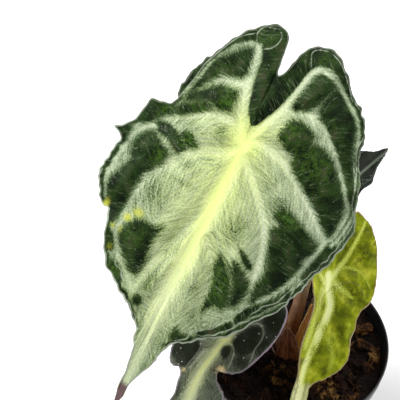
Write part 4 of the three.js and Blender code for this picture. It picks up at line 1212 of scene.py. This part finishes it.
# Second leaf. Small, waisted and low on the left, where a bite healed pale: charcoal fields in a
# silver-grey net, a broad pale midrib, and a thin lilac margin.
SECOND_LEAF = {
    "at": (-41, -24, 127), "turn": (23, -15, -34), "pole": (1.5, -20), "grid": 141,
    "outline": [
        (0, 15), (4, 26), (10, 33), (16, 35), (20, 33), (23, 29), (25, 21), (25, 14), (24, 8), (22, 1),
        (19, -10), (16, -14), (12, -16), (9, -16), (6.5, -19), (7.5, -21.5), (9.5, -24), (14, -26),
        (17, -29), (19.5, -35), (20, -44), (18, -54), (13, -64), (6, -74), (0, -84), (-4, -74), (-9, -62),
        (-10, -52), (-9, -42), (-11, -35), (-12.5, -30), (-16, -28), (-20, -29), (-24, -26), (-27, -19),
        (-30, -8), (-29, 6), (-25, 19), (-18, 29), (-10, 31), (-4, 25),
    ],
    "veins": {
        "midrib": [(0, 0), (-1, -11), (-2, -20.5), (-1.5, -30), (0, -40.5), (1, -60), (1, -78)],
        "right_lobe": [(0, 0), (4.5, 8), (8.5, 14.5), (12.5, 16.5), (16.5, 14), (18, 9), (17.5, 3),
            (19, -4.5)],
        "right_loop": [(1, -2), (5.5, -2), (8.5, -5), (9.5, -9), (10.5, -12)],
        "left_lobe": [(0, 0), (-9, 8), (-18, 4), (-22, -8), (-19, -22)],
        "left_side": [(-2.5, -9.5), (-7, -13.5), (-8.5, -19.5), (-9, -25.5)],
        "right_front": [(-1, -26), (8, -34), (12, -48)],
    },
    "soft": 2.6, "haze": 0.5,
    "fields": [
        [(-25.5, -19), (-24.5, -23), (-20, -25), (-16.5, -26.5), (-12, -26), (-11, -22.5), (-10.5, -19),
         (-10, -15), (-10.5, -12), (-14.5, -10), (-19.5, -10), (-24, -13)],
        [(1.5, -8), (1.5, -4.5), (4, -3), (6, -4.5), (6.5, -7.5), (5.5, -10), (3, -9.5)],
        [(5, -0.5), (5, 3.5), (7.5, 9.5), (10.5, 13.5), (13.5, 15.5), (16, 13), (17, 9), (17.5, 4.5),
         (16, 0.5), (13, -2.5), (10, -4), (7.5, -3)],
        [(13.5, 19), (14, 22.5), (16, 27), (18, 30.5), (21, 29.5), (23.5, 23), (24, 17), (23, 11.5),
         (21.5, 7.5), (20, 5), (18.5, 9), (18, 14.5), (15.5, 17.5)],
        [(2, 12), (5, 20), (10, 27), (13, 30), (11, 22), (9, 17), (5, 11)],
        [(-26, -8), (-24, 4), (-20, 12), (-14, 14), (-12, 8), (-14, 0), (-20, -6)],
        [(-18, 20), (-12, 26), (-6, 24), (-3, 16), (-6, 8), (-12, 12)],
    ],
    "dim": [(15, -7, 5, 5, 0.55), (-8.5, -40, 3, 8, 0.35), (15, -34, 4, 4, 0.3), (20, 3, 3, 3, 0.4)],
    "bands": [
        ("midrib", 4.5, 8.5, 1.0),
        ([(0, 0), (4.5, 8), (8.5, 14.5), (12.5, 16.5), (16.5, 14), (18, 9), (17.5, 3),
          (19, -6)], 1.6, 0.5, 0.9),
        ([(1, -2), (5.5, -2), (8.5, -5), (9.5, -9), (10.5, -15)], 1.5, 0.4, 0.9),
        ("left_side", 3, 2.5, 0.7),
    ],
    "fine": [
        [(2.5, 0), (4.5, 8), (8.5, 14.5), (12.5, 16.5), (16.5, 14), (18, 9), (17.5, 3), (19, -4.5)],
        [(-11.5, -9), (-10, -13), (-10.5, -20), (-11.5, -27)],
    ],
    "scars": [(7.5, -17, 3.4, 3.4, 1.0), (-11.5, -28, 2.5, 2, 0.7)],
    "glow": (4.5, 4.5, 2.4, 5), "fine_wave": 0.15,
    "calm": [(7, -18, 6, 6, 1.0), (0, 20, 4, 8, 1.0)],
    "tooth": 0.12,
    "form": lambda x, y: -4 * (x / 32) ** 2 - 5 * (below(-20, y) / 60) ** 2,
    "puff": 1.6, "puff_width": 4, "ruffle": 1, "crinkle": 0.1, "rim_reach": 10, "waves": 9, "ripples": 14,
    "quilt_depth": 0.2, "rib": 1,
}
# Second leaf skin: smooth and waxy, but dull at this angle; the strong white specks on it are painted glints.
second_skin = leaf_skin("charcoal_leaf_skin", {
    # On this leaf the white specks set by "dust" are painted glints.
    "grain": 0.14, "feather": 0.4, "ragged": 0.4, "speck": 0.6, "sand": 0.15, "dust": 0.7,
    "hair": 0.15, "hair_colour": "#565c4e",
    "field": [(0.25, "#151a0f"), (0.5, "#1f2419"), (0.75, "#2d312a")], "moss": "#3a4030",
    "net": [(0.15, "#363b31"), (0.5, "#5f6656"), (0.8, "#989f89"), (1.0, "#c0c6ad")],
    "gold": [(0.25, "#6f7a4c"), (0.6, "#a5ae70"), (1.0, "#c3ca86")],
    "fine": "#9aa092", "fine_strength": 0.4,
    "rim": "#a093a0", "rim_width": 1.1, "rim_from": -20, "rim_to": 10,
    "edge_dull": 0.15, "scar": "#d6c18c", "under": [(0.0, "#4b3b40"), (1.0, "#7d6f6c")],
    "tip": ("#5f4c4d", -90, -91), "roughness": 0.45, "gloss": 0.05, "bump": 0.25,
})
put(blade("second_leaf", SECOND_LEAF), second_skin, "leaf_grey_green", "blade_2")


# Third leaf. An old blade going over: mottled olive and yellow-green, folded along its midrib,
# its tip rolled and bleached almost white.
THIRD_LEAF = {
    "at": (20, 6, 137), "turn": (42, 6, -17), "pole": (3, -5), "grid": 141,
    "outline": [
        (-1, 22), (0, 36), (4, 47), (9, 45), (15, 41), (18, 36), (22, 29), (25, 21), (27, 13), (28, 4),
        (27, -3), (23, -9), (22, -14), (23, -20), (22, -26), (23, -34), (23, -39), (20, -46), (13, -53),
        (7, -57), (4.5, -61), (4, -68), (3, -75), (0.5, -78), (-2.5, -75), (-3.5, -68), (-3.5, -58),
        (-6, -48), (-8, -37), (-7, -28), (-7, -19), (-8, -11), (-12, -3), (-16, 5), (-17, 15), (-15, 25),
        (-10, 32), (-5, 32),
    ],
    "veins": {
        "midrib": [(-3, 5), (0, -2.5), (3.5, -10.5), (3.5, -18), (2, -27), (1, -35), (-0.5, -43),
            (-1, -53), (-0.5, -68), (0, -76)],
        "right_lobe": [(-1, -0.5), (1.5, 9), (5, 17.5), (7.5, 27), (9.5, 36), (10.5, 42.5)],
        "left_lobe": [(0, -2.5), (-7, 3), (-13, 7.5)],
        "right_loop": [(2, 11.5), (8, 13.5), (14.5, 13.5), (20.5, 10.5), (24.5, 6)],
        "right_side": [(3.5, 2), (9.5, -0.5), (15.5, -3)],
        "right_front": [(4, -20), (12, -26), (18, -38)],
    },
    "soft": 1.0, "haze": 0,
    "dim": [(3.5, -24, 2.5, 4, 0.6), (1, -38, 2.5, 5, 0.6), (3, 0, 3, 2, 0.3)],
    "bands": [
        ([(-3, 6), (0, -2.5), (3.5, -10.5), (3.5, -18), (2, -27), (1, -35), (-0.5, -43), (-1, -53),
          (-0.5, -68), (0, -76)], 2.8, 2.2, 0.9),
        ("right_lobe", 2.4, 1.0, 0.6),
        ("left_lobe", 2.2, 1.4, 0.6),
        ("right_loop", 1.8, 0.8, 0.4),
        ("right_side", 3.4, 1.2, 0.42),
        ([(4, -24), (12, -28), (17, -36)], 1.6, 0.8, 0.28),
        ([(-4, -4), (-4, -20), (-5, -38)], 3.0, 2.6, 0.5),
        ([(8, -30), (13, -38), (14, -46)], 3.0, 2.6, 0.3),
        ([(-2, -46), (-2, -52), (-1.5, -60)], 1.6, 2.6, 0.9),
        ([(0, -63), (0, -68), (0, -80)], 4, 6, 1.0),
    ],
    "fine": [
        [(5.5, 30), (7.5, 35.5), (13.5, 37.5)],
        [(1, -2), (-3, -9), (-1, -16), (1, -22), (-1, -29)],
        [(-3, 0), (-5, -8), (-3.5, -15), (-2, -24)],
        [(-7, -46), (-3, -44.5), (0, -41.5)],
        [(-6, -49), (-3, -48), (0.5, -44)],
        [(7, 4), (12, 6), (17, 5.5), (22, 0)],
    ],
    "moss": [
        (14, 24, 9, 9, 1.0), (18, 32, 6, 6, 0.8), (15, -1, 10, 7, 1.0), (13, -24, 6, 8, 0.7),
        (10, 7, 5, 4, 0.5), (8, -44, 6, 5, 0.6), (21, 0, 5, 7, 0.8), (2, 24, 4, 8, 0.5),
    ],
    "scars": [
        (-3.5, -46, 4, 2, 0.7), (0.5, -41.5, 2.5, 1.2, 0.6), (-3, -9, 3, 5, 0.55), (-6, 1, 2, 3, 0.45),
        (14, -7, 3, 1.2, 0.5),
    ],
    "glow": (7, 9, 4, 5), "fine_wave": 0.3,
    "calm": [(-1, 28, 4, 8, 1.0)],
    "tooth": 0.12,
    "form": lambda x, y: np.where(x > 0, -3 * (x / 28) ** 2, -0.9 * x) + 5 * (below(-45, y) / 30) ** 2,
    "puff": 1.4, "puff_width": 4, "ruffle": 1, "crinkle": 0.15, "rim_reach": 9, "waves": 8, "ripples": 13,
    "quilt_depth": 0.35, "rib": 1, "tip_thick": 1.0,
}
# Third leaf skin: thin and slack, with more of a shine; olive blotches show where it is still
# green, brown creases where it is drying, and there is no hair left on it.
third_skin = leaf_skin("yellowing_leaf_skin", {
    "grain": 0.3, "feather": 0.05, "ragged": 0.15, "speck": 0.9, "sand": 0.14, "dust": 0,
    "hair": 0.2, "hair_colour": "#b3bb50",
    "field": [(0.3, "#525d03"), (0.42, "#717d08"), (0.52, "#88940f"), (0.62, "#a3ac24"), (0.75, "#c4c540")],
    "moss": "#474e03",
    "net": [(0.2, "#a0ad30"), (0.45, "#bbc64c"), (0.6, "#cfd96c"), (0.85, "#e6eda4")],
    "gold": [(0.25, "#d2df72"), (0.5, "#e4ee8e"), (0.8, "#f0f6b0")],
    "fine": "#7c6a4c", "fine_strength": 0.55,
    "rim": "#a9946f", "rim_width": 0.8, "rim_from": -70, "rim_to": -69,
    "edge_dull": 0.1, "scar": "#7d6a45", "under": [(0.0, "#8b8a4d"), (1.0, "#c9cc93")],
    "tip": ("#e0e4ae", -57, -63), "roughness": 0.42, "gloss": 0.15, "bump": 0.35,
})
put(blade("third_leaf", THIRD_LEAF), third_skin, "leaf_yellow_green", "blade_3")


# Fourth leaf. Behind the others, in their shade: almost black-green with thin grey veins, its
# pointed tip turned to the right.
FOURTH_LEAF = {
    "at": (19, 53, 155), "turn": (18, 6, 134), "pole": (0, 0), "grid": 101,
    "outline": [
        (-1, 10), (5, 22), (11, 24), (18, 19), (24, 10), (26, -2), (25, -15), (21, -28), (16, -40),
        (11, -50), (5, -56), (1, -67), (-2, -57), (-4, -49), (-7.5, -41), (-9.5, -36.5), (-8.5, -30),
        (-9.5, -24), (-14, -16), (-19, -8), (-22, 0), (-21, 10), (-16, 18), (-10, 23), (-5, 22),
    ],
    "veins": {
        "midrib": [(0, 0), (0, -30), (0, -48), (0, -66)],
        "right_lobe": [(0, 0), (9, 12), (14, 16)],
        "left_lobe": [(0, 0), (-9, 12), (-13, 15)],
        "right_side": [(0, -6), (14, -12), (20, -22)],
        "left_side": [(0, -6), (-10, -12), (-16, -18)],
        "right_front": [(0, -30), (8, -38), (12, -44)],
        "left_front": [(0, -30), (-6, -36), (-9, -40)],
    },
    "soft": 1.0, "haze": 0,
    "bands": [
        ("midrib", 1.8, 1.0, 0.5),
        ("right_lobe", 1.2, 0.6, 0.4),
        ("left_lobe", 1.2, 0.6, 0.4),
        ("right_side", 1.2, 0.6, 0.4),
        ("left_side", 1.2, 0.6, 0.4),
        ("right_front", 1.1, 0.6, 0.35),
        ("left_front", 1.1, 0.6, 0.4),
    ],
    "fine": [
        [(-3, -60), (-3.5, -50), (-6.5, -40), (-6.5, -31)],
    ],
    "glow": (3, 3, 0.5, 1),
    "calm": [(-1, 15, 4, 8, 1.0)],
    "tooth": 0.1,
    "form": lambda x, y: -3 * (x / 30) ** 2 - 4 * (below(-20, y) / 50) ** 2,
    "puff": 1.2, "puff_width": 4, "ruffle": 0.8, "crinkle": 0.1, "rim_reach": 10, "waves": 7,
    "ripples": 11, "quilt_depth": 0.2, "rib": 0.8,
}
# Fourth leaf skin: as dull as the main leaf's, and so dark that only the ribs stand out.
fourth_skin = leaf_skin("black_green_leaf_skin", {
    "grain": 0.06, "feather": 0.3, "ragged": 0.3, "speck": 0.2, "sand": 0.1, "dust": 0.2,
    "hair": 0.3, "hair_colour": "#363b33",
    "field": [(0.25, "#0e110c"), (0.5, "#171b14"), (0.75, "#23271f")], "moss": "#22301f",
    "net": [(0.2, "#343a31"), (0.5, "#4d544a"), (0.85, "#6c7467")],
    "gold": [(0.25, "#5e6a55"), (0.8, "#7d8a6d")],
    "edge_dull": 0.1, "fine": "#5a6156", "fine_strength": 0.4,
    "rim": "#59625f", "rim_width": 0.8, "rim_from": 60, "rim_to": 61,
    "scar": "#6b5f3c", "under": [(0.0, "#3b2e31"), (1.0, "#5c5350")],
    "tip": ("#2a2f2c", -90, -91), "roughness": 0.45, "gloss": 0.08, "bump": 0.3,
})
put(blade("fourth_leaf", FOURTH_LEAF), fourth_skin, "leaf_dark_green", "blade_4")


# The studio. A white floor and a white room with one broad soft light from the upper left, so
# that the leaf's puffed fields read by their soft highlights.
CAMERA_AT = (-56, -304.5, 518.8)
CAMERA_PITCH = 45.0
LENS = 75.0

bpy.ops.object.select_all(action="DESELECT")
bpy.ops.mesh.primitive_plane_add(size=6, location=(0, 0, 0))
floor = bpy.context.object
floor.name = "studio_floor"
paper, tree, shader = new_material("white_paper_sweep")
finish(tree, shader, Base_Color="#fafafa", Roughness=0.9)
floor.data.materials.append(paper)

camera_data = bpy.data.cameras.new("camera")
camera_data.lens = LENS
camera_data.sensor_width = 36
camera_data.clip_start = 0.01
camera = bpy.data.objects.new("camera", camera_data)
bpy.context.collection.objects.link(camera)
camera.location = Vector(CAMERA_AT) * MM
camera.rotation_euler = (math.radians(90 - CAMERA_PITCH), 0, 0)
bpy.context.scene.camera = camera


def soft_light(name, at, size, power):
    data = bpy.data.lights.new(name, "AREA")
    data.shape = "DISK"
    data.size = size
    data.energy = power
    lamp = bpy.data.objects.new(name, data)
    bpy.context.collection.objects.link(lamp)
    lamp.location = at
    lamp.rotation_euler = (Vector((0, 0, 0.1)) - Vector(at)).to_track_quat("-Z", "Y").to_euler()


soft_light("key_light", (-0.9, 0.1, 1.5), 1.1, 34)
soft_light("fill_light", (1.1, 0.3, 1.4), 1.1, 20)

world = bpy.data.worlds.new("white_room")
world.use_nodes = True
room = world.node_tree.nodes["Background"]
room.inputs["Color"].default_value = (1, 1, 1, 1)
room.inputs["Strength"].default_value = 0.4
bpy.context.scene.world = world
bpy.context.scene.view_settings.view_transform = "Standard"
